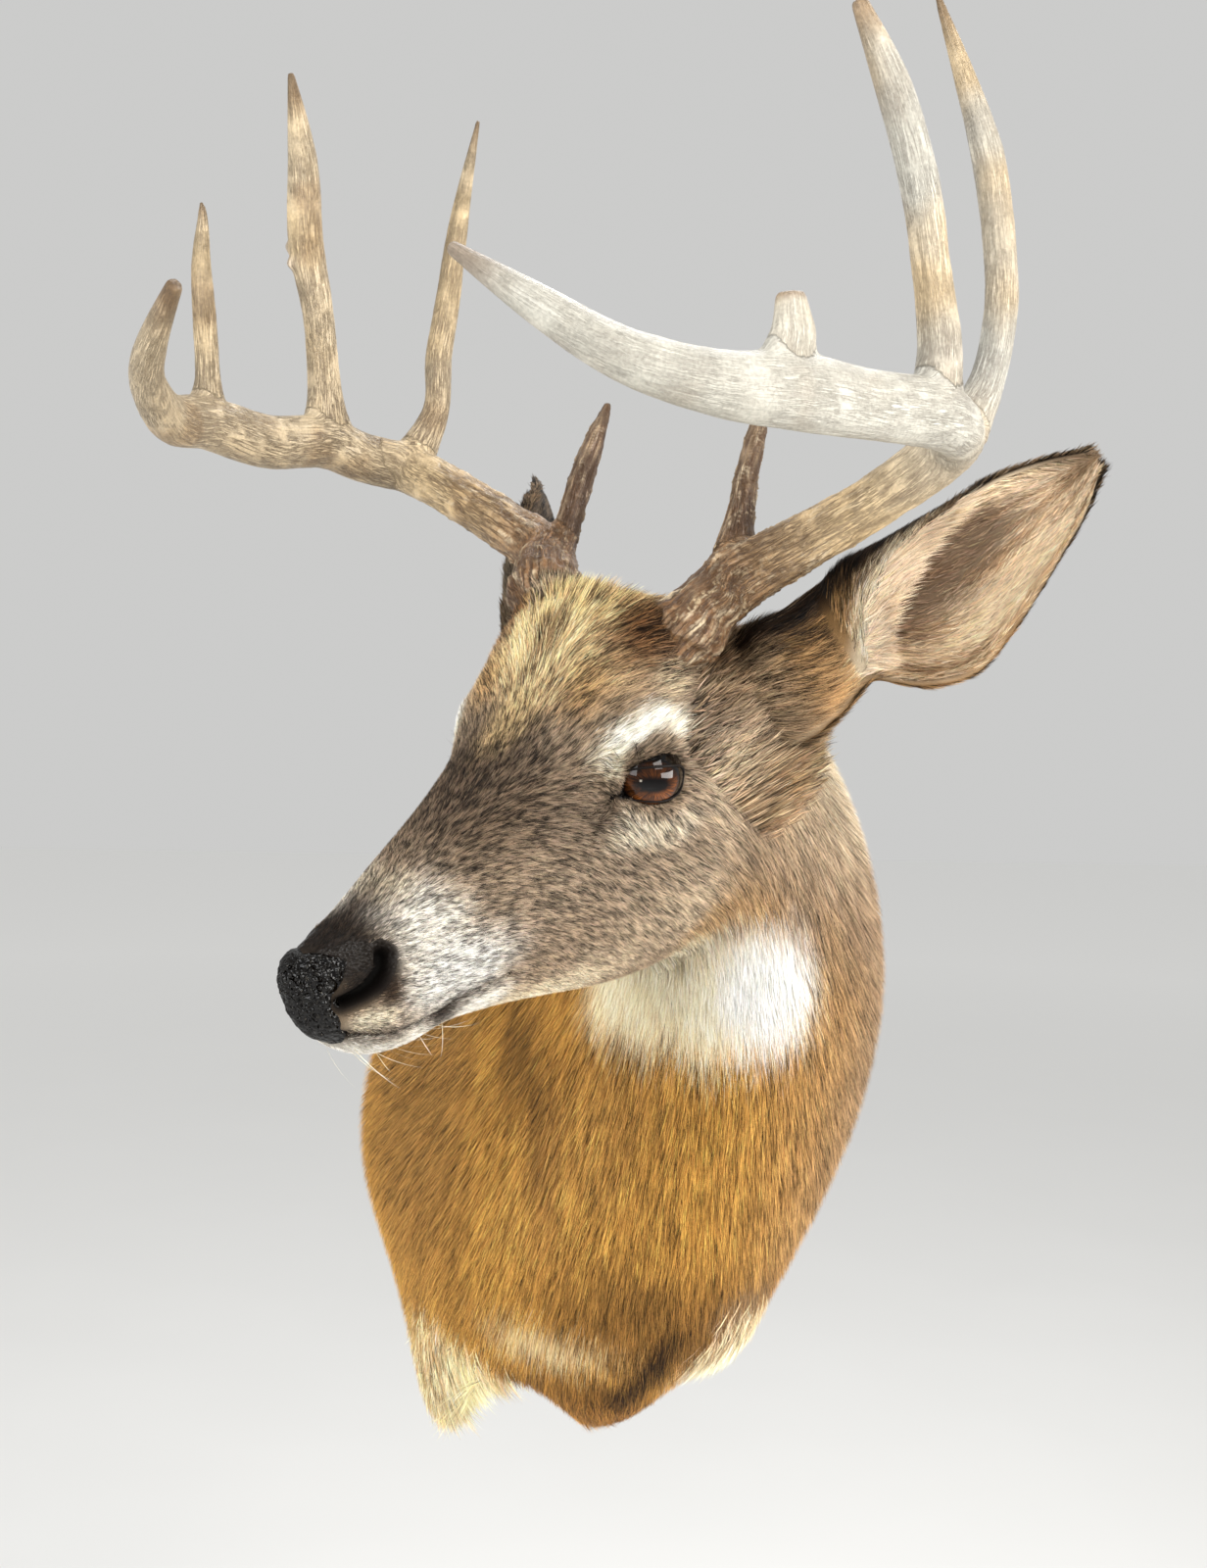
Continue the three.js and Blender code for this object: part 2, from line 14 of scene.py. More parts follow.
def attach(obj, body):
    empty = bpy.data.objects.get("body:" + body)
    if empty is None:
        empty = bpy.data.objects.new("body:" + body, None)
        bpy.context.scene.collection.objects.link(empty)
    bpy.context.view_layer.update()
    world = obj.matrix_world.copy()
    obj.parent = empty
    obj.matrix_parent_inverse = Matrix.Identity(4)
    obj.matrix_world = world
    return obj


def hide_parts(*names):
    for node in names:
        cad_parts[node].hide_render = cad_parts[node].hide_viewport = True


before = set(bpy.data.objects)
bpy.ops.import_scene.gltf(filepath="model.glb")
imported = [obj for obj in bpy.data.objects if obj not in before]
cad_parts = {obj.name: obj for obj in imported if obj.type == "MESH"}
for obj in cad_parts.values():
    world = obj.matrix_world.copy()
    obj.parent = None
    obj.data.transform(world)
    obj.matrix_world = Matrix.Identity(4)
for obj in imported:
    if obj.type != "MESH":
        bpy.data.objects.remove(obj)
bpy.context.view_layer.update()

MM = 0.001
rng = np.random.default_rng(11)
SCENE = bpy.context.scene


# ---------------------------------------------------------------------------
# Small helpers


def lengths(v):
    return np.linalg.norm(v, axis=-1, keepdims=True)


def unit(v):
    v = np.asarray(v, float)
    return v / np.maximum(lengths(v), 1e-9)


def power(value, exponent):
    """A power that keeps the sign."""
    return np.sign(value) * np.abs(value) ** exponent


def smooth(low, high, value):
    """0 at low and 1 at high, with a soft step between them."""
    t = np.clip((value - low) / (high - low), 0, 1)
    return t * t * (3 - 2 * t)


def dot(a, b):
    return (a * b).sum(-1)


def mix(a, b, share):
    return a + (b - a) * share


def tint(red, green, blue):
    """An sRGB colour in 0 to 255 as linear values."""
    c = np.array([red, green, blue], float) / 255
    return np.where(c <= 0.04045, c / 12.92, ((c + 0.055) / 1.055) ** 2.4)


LATTICE = np.random.default_rng(5).random(4096)


def noise(points, scale, seed=0):
    """Smooth value noise from 0 to 1 at points, with features about scale in size."""
    p = np.asarray(points, float) / scale + 100.0 + 17.3 * seed
    base = np.floor(p).astype(np.int64)
    f = p - base
    f = f * f * (3 - 2 * f)
    total = 0.0
    for corner in range(8):
        step = np.array([corner & 1, corner >> 1 & 1, corner >> 2 & 1])
        cell = base + step
        key = (cell[..., 0] * 73856093) ^ (cell[..., 1] * 19349663) ^ (cell[..., 2] * 83492791)
        weight = np.prod(np.where(step == 1, f, 1 - f), axis=-1)
        total = total + weight * LATTICE[np.abs(key) % 4096]
    return total


def fractal(points, scale, seed=0, layers=3):
    """Noise in layers, each half the scale and half the strength of the one before."""
    total, weight, share = 0.0, 0.0, 1.0
    for layer in range(layers):
        total = total + share * noise(points, scale / 2**layer, seed + layer)
        weight += share
        share *= 0.5
    return total / weight


def turn(axis, degrees):
    return np.array(Matrix.Rotation(math.radians(degrees), 3, axis))


# ---------------------------------------------------------------------------
# Head frame and flesh, as in the part's source

HEAD_AT = np.array([-43.0, -376.0, 239.0])
HEAD = turn("Z", -44) @ turn("X", 17.5) @ turn("Y", 2)


def from_head(p):
    """Points of the head frame in the part's frame."""
    return np.asarray(p, float) @ HEAD.T + HEAD_AT


def to_head(p):
    """Points of the part's frame in the head frame."""
    return (np.asarray(p, float) - HEAD_AT) @ HEAD


HEAD_SECTIONS = [
    # y, ridge, keel, half width, widest, square above, square below
    [-193, -28, -44, 4, -36, 2.0, 2.0],
    [-189, -23, -56, 12, -39, 2.2, 2.2],
    [-181, -21, -68, 19, -43, 2.3, 2.2],
    [-167, -19, -79, 26, -46, 2.3, 2.2],
    [-148, -13, -84, 30, -47, 2.2, 2.3],
    [-120, -1, -85, 33, -43, 2.2, 2.3],
    [-85, 13, -93, 38, -37, 2.2, 2.2],
    [-52, 27, -103, 46, -22, 2.2, 2.1],
    [-28, 39, -111, 54, -8, 2.3, 2.0],
    [-6, 60, -117, 59, 0, 2.4, 2.0],
    [14, 76, -121, 61, 2, 2.4, 2.0],
    [40, 80, -125, 63, 0, 2.4, 2.0],
]

NECK_SECTIONS = [
    # keel, ridge, half width, turn in degrees, square above, square below
    [[10, -318, 124], [34, -298, 312], 71, -42, 2.0, 2.0],
    [[18, -306, 62], [52, -246, 288], 89, -34, 1.85, 2.1],
    [[14, -284, -20], [58, -178, 268], 110, -24, 1.8, 2.1],
    [[2, -240, -110], [50, -104, 252], 132, -14, 1.85, 2.1],
    [[-10, -166, -184], [32, -30, 238], 151, -6, 2.0, 2.0],
    [[-18, -66, -224], [22, 52, 224], 164, 0, 2.2, 1.9],
    [[-20, 40, -240], [18, 140, 206], 168, 0, 2.2, 1.9],
]

HEAD_FORMS = [
    # at, reach, push
    ([56, -6, 24], [16, 26, 12], [5, 0, 3]),  # brow
    ([60, -12, 0], [14, 18, 10], [-5, 1, 0]),  # eye socket
    ([54, 10, -22], [18, 34, 14], [4, 0, 0]),  # cheek bone
    ([50, 30, -70], [22, 34, 30], [6, 0, -2]),  # jaw muscle
    ([44, -62, 4], [12, 26, 16], [-5, 0, -2]),  # hollow before the eye
    ([44, 48, 62], [20, 20, 20], [5, 2, 8]),  # pedicle
    ([26, -168, -66], [14, 20, 8], [3, -1, -1]),  # upper lip
    ([60, 76, 4], [26, 30, 32], [4, -2, 0]),  # root of the ear
]

CHEST_FORMS = [
    ([-53, -10, -236], [22, 110, 80], [0, 10, 88]),  # armpit, right foreleg
    ([44, -10, -240], [30, 90, 70], [0, 6, 50]),  # armpit, left foreleg
    ([-112, 0, -190], [36, 70, 60], [-8, 0, -60]),  # top of the right foreleg
    ([82, 0, -190], [28, 60, 50], [4, 0, -22]),  # top of the left foreleg
    ([-150, -20, -50], [60, 120, 90], [-10, 0, 0]),  # right shoulder
    ([140, -120, -60], [70, 120, 110], [-22, 0, 10]),  # left shoulder
    ([50, -140, -170], [34, 90, 60], [0, 0, 12]),  # beside the brisket
]

NOSE_TIP = -193
HEAD_ROWS_END = 12  # the first neck section
WALL_SECTION = 18


def section_table():
    """Keel, ridge, side, half width, widest share and squareness of each section."""
    rows = []
    for y, ridge, keel, half, widest, above, below in HEAD_SECTIONS:
        share = (widest - keel) / (ridge - keel)
        ends = [*from_head([0, y, keel]), *from_head([0, y, ridge])]
        rows.append([*ends, *HEAD[:, 0], half, share, above, below])
    for keel, ridge, half, degrees, above, below in NECK_SECTIONS:
        a = math.radians(degrees)
        rows.append([*keel, *ridge, math.cos(a), math.sin(a), 0, half, 0.5, above, below])
    return np.array(rows, float)


def through(table, u):
    """Catmull-Rom through the rows of a table."""
    table = np.asarray(table, float)
    u = np.asarray(u, float)
    last = len(table) - 1
    i = np.clip(np.floor(u).astype(int), 0, last - 1)
    t = (u - i)[..., None]
    a, b, c, d = (table[np.clip(i + k, 0, last)] for k in (-1, 0, 1, 2))
    ease = 3 * t**2 - 2 * t**3
    return (1 - ease) * b + (t**3 - 2 * t**2 + t) * (c - a) / 2 + ease * c + (t**3 - t**2) * (d - b) / 2


def pushed(at, forms, mirror):
    """Points moved by soft local pushes, on both sides of the head where mirror is set."""
    moved = at.copy()
    for centre, reach, push in forms:
        for s in (1, -1) if mirror else (1,):
            flip = np.array([s, 1, 1])
            fall = np.exp(-(((at - flip * centre) / reach) ** 2).sum(-1, keepdims=True))
            moved += flip * push * fall
    return moved


SECTIONS = section_table()


def flesh(u, angle):
    """Points of the coat's outline. The angle runs from the ridge over the buck's left side."""
    s = through(SECTIONS, u)
    keel, ridge, side = s[..., 0:3], s[..., 3:6], s[..., 6:9]
    half, widest, above, below = s[..., 9], s[..., 10], s[..., 11], s[..., 12]
    height = lengths(ridge - keel)[..., 0]
    up = unit(ridge - keel)
    waist = height * widest
    top = np.cos(angle) > 0
    square = 2 / np.where(top, above, below)
    rise = np.where(top, height - waist, waist)
    x = half * power(np.sin(angle), square)
    z = waist + rise * power(np.cos(angle), square)
    at = keel + up * z[..., None] + side * x[..., None]
    return pushed(from_head(pushed(to_head(at), HEAD_FORMS, True)), CHEST_FORMS, False)


# ---------------------------------------------------------------------------
# Meshes and materials


def make_mesh(name, points, faces, material, colour=None, uv=None, layers=None, smooth_shaded=True):
    """A mesh object from points in millimetres. faces is an array of triangles or quads."""
    mesh = bpy.data.meshes.new(name)
    faces = np.asarray(faces, np.int32)
    count, corners = faces.shape
    mesh.vertices.add(len(points))
    mesh.vertices.foreach_set("co", (np.asarray(points) * MM).astype(np.float32).ravel())
    mesh.loops.add(count * corners)
    mesh.loops.foreach_set("vertex_index", faces.ravel())
    mesh.polygons.add(count)
    mesh.polygons.foreach_set("loop_start", np.arange(count, dtype=np.int32) * corners)
    mesh.update(calc_edges=True)
    mesh.polygons.foreach_set("use_smooth", np.full(count, smooth_shaded))
    if colour is not None:
        rgba = np.concatenate([colour, np.ones((len(points), 1))], axis=1).astype(np.float32)
        mesh.color_attributes.new("Col", "FLOAT_COLOR", "POINT").data.foreach_set("color", rgba.ravel())
    if uv is not None:
        mesh.uv_layers.new(name="OFBake").data.foreach_set("uv", uv[faces.ravel()].astype(np.float32).ravel())
    for key, values in (layers or {}).items():
        if values.ndim == 1:
            mesh.attributes.new(key, "FLOAT", "POINT").data.foreach_set("value", values.astype(np.float32))
        else:
            data = mesh.attributes.new(key, "FLOAT_VECTOR", "POINT").data
            data.foreach_set("vector", values.astype(np.float32).ravel())
    mesh.materials.append(material)
    obj = bpy.data.objects.new(name, mesh)
    SCENE.collection.objects.link(obj)
    return obj


def piece(obj, slot, *nodes):
    """Hangs an object under the part's root and hides the part's nodes that it stands for."""
    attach(obj, "root")
    if nodes:
        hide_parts(*nodes)
    return obj


def grid_faces(rows, columns, closed=True):
    """Quads of a grid of points, wrapped round its columns where closed."""
    r = np.arange(rows - 1)[:, None]
    c = np.arange(columns if closed else columns - 1)[None, :]
    d = (c + 1) % columns
    quad = np.stack([r * columns + c, (r + 1) * columns + c, (r + 1) * columns + d, r * columns + d], axis=-1)
    return quad.reshape(-1, 4)


class Shader:
    """A node material built a node at a time."""

    def __init__(self, name):
        self.material = bpy.data.materials.new(name)
        self.material.use_nodes = True
        self.tree = self.material.node_tree
        self.surface = self.tree.nodes["Principled BSDF"]

    def node(self, kind, **settings):
        node = self.tree.nodes.new(kind)
        for key, value in settings.items():
            setattr(node, key, value)
        return node

    def join(self, source, target):
        self.tree.links.new(source, target)

    def set(self, **values):
        for key, value in values.items():
            self.surface.inputs[key.replace("_", " ")].default_value = value

    def attribute(self, name, output):
        return self.node("ShaderNodeAttribute", attribute_name=name).outputs[output]

    def noise(self, scale, detail=3.0, source=None, stretch=None):
        where = source or self.node("ShaderNodeTexCoord").outputs["Object"]
        if stretch:
            mapping = self.node("ShaderNodeMapping")
            mapping.inputs["Scale"].default_value = stretch
            self.join(where, mapping.inputs["Vector"])
            where = mapping.outputs["Vector"]
        node = self.node("ShaderNodeTexNoise")
        node.inputs["Scale"].default_value = scale
        node.inputs["Detail"].default_value = detail
        self.join(where, node.inputs["Vector"])
        return node.outputs["Fac"]

    def ramp(self, source, low, high, start=0.0, end=1.0):
        node = self.node("ShaderNodeMapRange")
        node.inputs["From Min"].default_value = start
        node.inputs["From Max"].default_value = end
        node.inputs["To Min"].default_value = low
        node.inputs["To Max"].default_value = high
        self.join(source, node.inputs["Value"])
        return node.outputs["Result"]

    def times(self, colour, factor):
        """The colour made lighter or darker by a factor."""
        node = self.node("ShaderNodeVectorMath", operation="SCALE")
        self.join(colour, node.inputs[0])
        self.join(factor, node.inputs["Scale"])
        return node.outputs["Vector"]

    def math(self, operation, first, second=None):
        """One operation on a value and, where it takes two, on another value or a number."""
        node = self.node("ShaderNodeMath", operation=operation)
        self.join(first, node.inputs[0])
        if isinstance(second, (int, float)):
            node.inputs[1].default_value = second
        elif second is not None:
            self.join(second, node.inputs[1])
        return node.outputs[0]

    def away_from(self, source, middle):
        """How far a value is from the middle."""
        return self.math("ABSOLUTE", self.math("SUBTRACT", source, middle))

    def pebbles(self, scale):
        """Distance from the middle of the nearest pebble."""
        node = self.node("ShaderNodeTexVoronoi", feature="F1")
        node.inputs["Scale"].default_value = scale
        self.join(self.node("ShaderNodeTexCoord").outputs["Object"], node.inputs["Vector"])
        return node.outputs["Distance"]

    def blend(self, factor, first, second):
        node = self.node("ShaderNodeMix", data_type="RGBA")
        self.join(factor, node.inputs["Factor"])
        for value, socket in ((first, node.inputs[6]), (second, node.inputs[7])):
            if hasattr(value, "is_output"):
                self.join(value, socket)
            else:
                socket.default_value = (*value, 1)
        return node.outputs[2]

    def colour(self, source):
        self.join(source, self.surface.inputs["Base Color"])

    def bump(self, source, distance, strength=1.0):
        node = self.node("ShaderNodeBump")
        node.inputs["Distance"].default_value = distance
        node.inputs["Strength"].default_value = strength
        self.join(source, node.inputs["Height"])
        self.join(node.outputs["Normal"], self.surface.inputs["Normal"])


def hair_material():
    """Hair in the colours of its tufts, with a faint fine shade."""
    s = Shader("deer_hair")
    s.set(Roughness=0.55, Specular_IOR_Level=0.14)
    shade = s.ramp(s.noise(900, 2.0), 0.82, 1.16)
    s.colour(s.times(s.attribute("Col", "Color"), shade))
    return s.material


def hide_material():
    """Skin, dull under the hair and pebbled and glossy where it is wet."""
    s = Shader("deer_hide")
    wet = s.attribute("Wet", "Fac")
    s.join(s.ramp(wet, 0.7, 0.34), s.surface.inputs["Roughness"])
    s.join(s.ramp(wet, 0.06, 0.18), s.surface.inputs["Specular IOR Level"])
    fine = s.noise(1400, 3.0)
    s.colour(s.times(s.attribute("Col", "Color"), s.ramp(fine, 0.6, 1.1)))
    tops = s.math("MULTIPLY", s.ramp(s.pebbles(480), 1.0, 0.0, 0.1, 0.7), wet)
    s.bump(s.math("ADD", s.ramp(fine, 0, 0.25), tops), 0.002, 0.8)
    return s.material


# ---------------------------------------------------------------------------
# Eyes. The opening's outline lies on the ball, along its slit and across it.

EYE_AT = np.array([48.0, 3.0, -1.0])
EYE_RADIUS = 18.5
EYE_ALONG = unit([0.419, 0.885, -0.204])  # front corner to back corner
EYE_GAZE = unit(np.array([0.893, -0.443, -0.084]))
EYE_UP = np.cross(EYE_GAZE, EYE_ALONG)
LID_LENGTH = 17.0
LID_ABOVE = 8.5
LID_BELOW = 7.4
LID_SQUARE = 2 / 2.5
LID_THICK = 1.7
LID_GAP = 1.2  # between the ball and the lid's inner face
TEAR_CORNER = 3.2  # how far the front corner draws down and out
TEAR_AT = math.radians(198)
TEAR_WIDTH = 0.28


def lid_reach(angle):
    """Distance of the opening's edge from its middle. Angle 0 points to the back corner."""
    c, s = np.cos(angle), np.sin(angle)
    tall = np.where(s > 0, LID_ABOVE, LID_BELOW)
    n = 2 / LID_SQUARE
    plain = (np.abs(c / LID_LENGTH) ** n + np.abs(s / tall) ** n) ** (-1 / n)
    corner = np.exp(-(((np.mod(angle, 2 * np.pi) - TEAR_AT) / TEAR_WIDTH) ** 2))
    return plain + TEAR_CORNER * corner


def eye_frame(q):
    """Head-frame points, mirrored to the left, in the eye's own along, up and gaze lengths."""
    v = q - EYE_AT
    return dot(v, EYE_ALONG), dot(v, EYE_UP), dot(v, EYE_GAZE)


def lid_measure(q):
    """1 on the edge of the opening, less inside it, more outside it."""
    along, up, gaze = eye_frame(q)
    reach = lid_reach(np.arctan2(up, along))
    return np.where(gaze > 2, np.hypot(along, up) / reach, 9.0)


def mirrored(q):
    """Head-frame points folded to the left side, and the side each was on."""
    side = np.where(q[..., 0] < 0, -1.0, 1.0)
    folded = q.copy()
    folded[..., 0] *= side
    return folded, side


def unfold(q, side):
    """Folded points or directions back on the side that each was on."""
    out = q.copy()
    out[..., 0] *= side
    return out


# ---------------------------------------------------------------------------
# The hide: one surface from the nose to the wall

HIDE_ROWS = [6, 9, 15, 20, 18, 20, 18, 26, 30, 28, 16, 16]  # rows in each section of the head
BODY_ROWS = 76
HIDE_COLUMNS = 320
EYE_BAND = (math.radians(72), math.radians(106))
COAT_DEPTH = ([0, 4, 6, 9, 11, 12, 13, 15, 18], [0.8, 1.2, 1.8, 2.4, 4.0, 5.5, 7.0, 8.5, 9.0])
BOARD_HALF = (112, 166)
BOARD_CENTRE_Z = 8
BOARD_SQUARE = 2.5
WALL_GAP = 0.4  # the hide ends this far before the wall


def hide_angles():
    """Column angles, closest together over the eyes."""
    fine = np.linspace(0, 2 * np.pi, 4001)
    middle = (fine[1:] + fine[:-1]) / 2
    off = np.pi - np.abs(middle - np.pi)
    band = smooth(EYE_BAND[0] - 0.08, EYE_BAND[0], off) * (1 - smooth(EYE_BAND[1], EYE_BAND[1] + 0.08, off))
    total = np.concatenate([[0], np.cumsum(1 + 2.4 * band)])
    return np.interp(np.linspace(0, total[-1], HIDE_COLUMNS + 1)[:-1], total, fine)


def wall_row(angles):
    """Where each column meets the wall."""
    low, high = np.full(angles.shape, 15.0), np.full(angles.shape, float(WALL_SECTION))
    for _ in range(26):
        middle = (low + high) / 2
        before = flesh(middle, angles)[:, 1] < 0
        low, high = np.where(before, middle, low), np.where(before, high, middle)
    return low


def hide_grid():
    """Section parameters and angles of the hide's points, row by row."""
    angles = hide_angles()
    head = np.concatenate([i + np.arange(n) / n for i, n in enumerate(HIDE_ROWS)])
    share = np.linspace(0, 1, BODY_ROWS)
    ends = wall_row(angles)
    body = HEAD_ROWS_END + share[:, None] * (ends - HEAD_ROWS_END)[None, :]
    u = np.concatenate([np.repeat(head[:, None], len(angles), axis=1), body])
    return u, np.repeat(angles[None, :], len(u), axis=0)


def grid_normals(points, centre):
    """Outward unit normals of a grid that is closed round its columns."""
    down = np.gradient(points, axis=0)
    around = np.roll(points, -1, axis=1) - np.roll(points, 1, axis=1)
    normal = unit(np.cross(around, down))
    outward = np.sign(dot(normal, points - centre).mean())
    return normal * outward


# Creases in the hide, as [y, z] in the head frame on each side of the face.
LIP_LINE = np.array(
    [[-192, -58], [-179, -61], [-162, -66], [-148, -68], [-133, -69], [-110, -68], [-92, -69]],
    float,
)
TEAR_LINE = np.array([[-17, -4], [-25, -2], [-31, -2], [-37, -9], [-43, -19]], float)
NOSTRIL = np.array([[-157, -29], [-160, -34], [-166, -38.5], [-173, -41.5], [-181, -43]], float)
NOSE_SIDE = np.array([[-179, -25], [-166, -26], [-158, -30]], float)  # bare black skin behind the pad


def line_distance(yz, line):
    """Distance from points to a polyline, and how far along it each is, from 0 to 1."""
    best = np.full(yz.shape[:-1], 1e9)
    where = np.zeros(yz.shape[:-1])
    steps = np.linalg.norm(np.diff(line, axis=0), axis=1)
    starts = np.concatenate([[0], np.cumsum(steps)])
    for i in range(len(line) - 1):
        a, b = line[i], line[i + 1]
        t = np.clip(((yz - a) @ (b - a)) / ((b - a) @ (b - a)), 0, 1)
        gap = np.linalg.norm(yz - (a + t[..., None] * (b - a)), axis=-1)
        near = gap < best
        best = np.where(near, gap, best)
        where = np.where(near, (starts[i] + t * steps[i]) / starts[-1], where)
    return best, where


def carve_face(q, normal, natural):
    """Lips, nostrils, tear lines and lids, on head-frame points folded to the left."""
    yz = natural[..., 1:3]
    out = q.copy()
    gap, _ = line_distance(yz, LIP_LINE)
    groove = np.exp(-((gap / 2.3) ** 2)) * smooth(-86, -94, natural[..., 1])
    above = np.exp(-((gap / 5) ** 2)) * smooth(-88, -100, natural[..., 1])
    over = np.interp(natural[..., 1], LIP_LINE[:, 0], LIP_LINE[:, 1]) < natural[..., 2]
    out += normal * (np.where(over, 1.0, -0.4) * above - 3.2 * groove)[..., None]
    gap, along = line_distance(yz, NOSTRIL)
    front = natural[..., 0] > 12
    width = mix(3.6, 2.4, smooth(0.3, 1.0, along))
    hole = np.exp(-((gap / width) ** 4)) * front
    rim = np.exp(-(((gap - width - 1.6) / 1.6) ** 2)) * front
    out += normal * (1.1 * rim - 7.0 * hole)[..., None]
    gap, along = line_distance(yz, TEAR_LINE)
    crease = np.exp(-((gap / mix(1.6, 1.1, along)) ** 2)) * mix(1.0, 0.6, along)
    roll = np.exp(-(((gap - 3.2) / 2.0) ** 2)) * mix(1.0, 0.3, along)
    side = smooth(30, 38, natural[..., 0])
    return out + normal * ((0.7 * roll - 2.4 * crease) * side)[..., None]


def set_lids(q):
    """Skin drawn over the eyeball, open where the lids part."""
    v = q - EYE_AT
    reach = lengths(v)[..., 0]
    measure = lid_measure(q)
    _, up, gaze = eye_frame(q)
    lid = EYE_RADIUS + LID_GAP + LID_THICK * smooth(1.0, 1.3, measure)
    fold = np.exp(-(((measure - 1.62) / 0.12) ** 2)) * smooth(0, 5, up)
    roll = np.exp(-(((measure - 1.38) / 0.14) ** 2)) * smooth(0, 5, up)
    lid = lid + 0.9 * roll - 1.0 * fold - 2.2 * smooth(1.7, 2.4, measure)
    blend = 2.5
    lifted = reach + blend * np.log1p(np.exp(np.clip((lid - reach) / blend, -40, 40)))
    lifted = np.where(gaze > -6, mix(reach, lifted, smooth(-6, 2, gaze)), reach)
    highest = EYE_RADIUS + 1.3 + 9 * np.maximum(measure - 1, 0)  # so that no brow overhangs the opening
    lifted = np.where(measure < 2.2, np.minimum(lifted, highest), lifted)
    inside = 1 - smooth(0.9, 1.0, measure)
    radius = mix(lifted, EYE_RADIUS - 2.5, inside)
    return EYE_AT + unit(v) * radius[..., None]


def hide_surface():
    """The coat's outline and, below it by the coat's depth, the hide with its normals, on one grid."""
    u, angle = hide_grid()
    outline = flesh(u, angle)
    spine = outline.mean(axis=1, keepdims=True)
    normal = grid_normals(outline, spine)
    depth = np.interp(u, *COAT_DEPTH)
    natural = to_head(outline)
    bare = pad_measure(natural)
    depth = depth + 1.2 * (1 - smooth(-2.0, 0.5, bare))
    skin = outline - normal * depth[..., None]
    q, side = mirrored(to_head(skin))
    folded_normal = unfold(normal @ HEAD, side)
    near_face = u < HEAD_ROWS_END
    face = set_lids(carve_face(q, folded_normal, mirrored(natural)[0]))
    skin = np.where(near_face[..., None], from_head(unfold(face, side)), skin)
    skin[-1, :, 1] = -WALL_GAP
    skin[..., 1] = np.minimum(skin[..., 1], -WALL_GAP)
    normal = grid_normals(skin, spine)
    return {"u": u, "angle": angle, "outline": outline, "skin": skin, "normal": normal, "depth": depth}


# The bare pad's rear edge, as the head-frame y where it ends at each angle round the muzzle.
PAD_EDGE = (
    [0, 30, 50, 70, 85, 110, 130, 150, 180],
    [-182, -177, -172, -178, -183, -184, -182, -182, -182],
)


def pad_measure(q):
    """Below 0 on the bare nose pad: millimetres along the muzzle from its edge."""
    away = np.degrees(np.arctan2(np.abs(q[..., 0]), q[..., 2] + 40))
    return q[..., 1] - np.interp(away, *PAD_EDGE)


# ---------------------------------------------------------------------------
# Markings: colour, and how much of it is flecked with dark hairs

GREY_BROWN = tint(143, 124, 103)

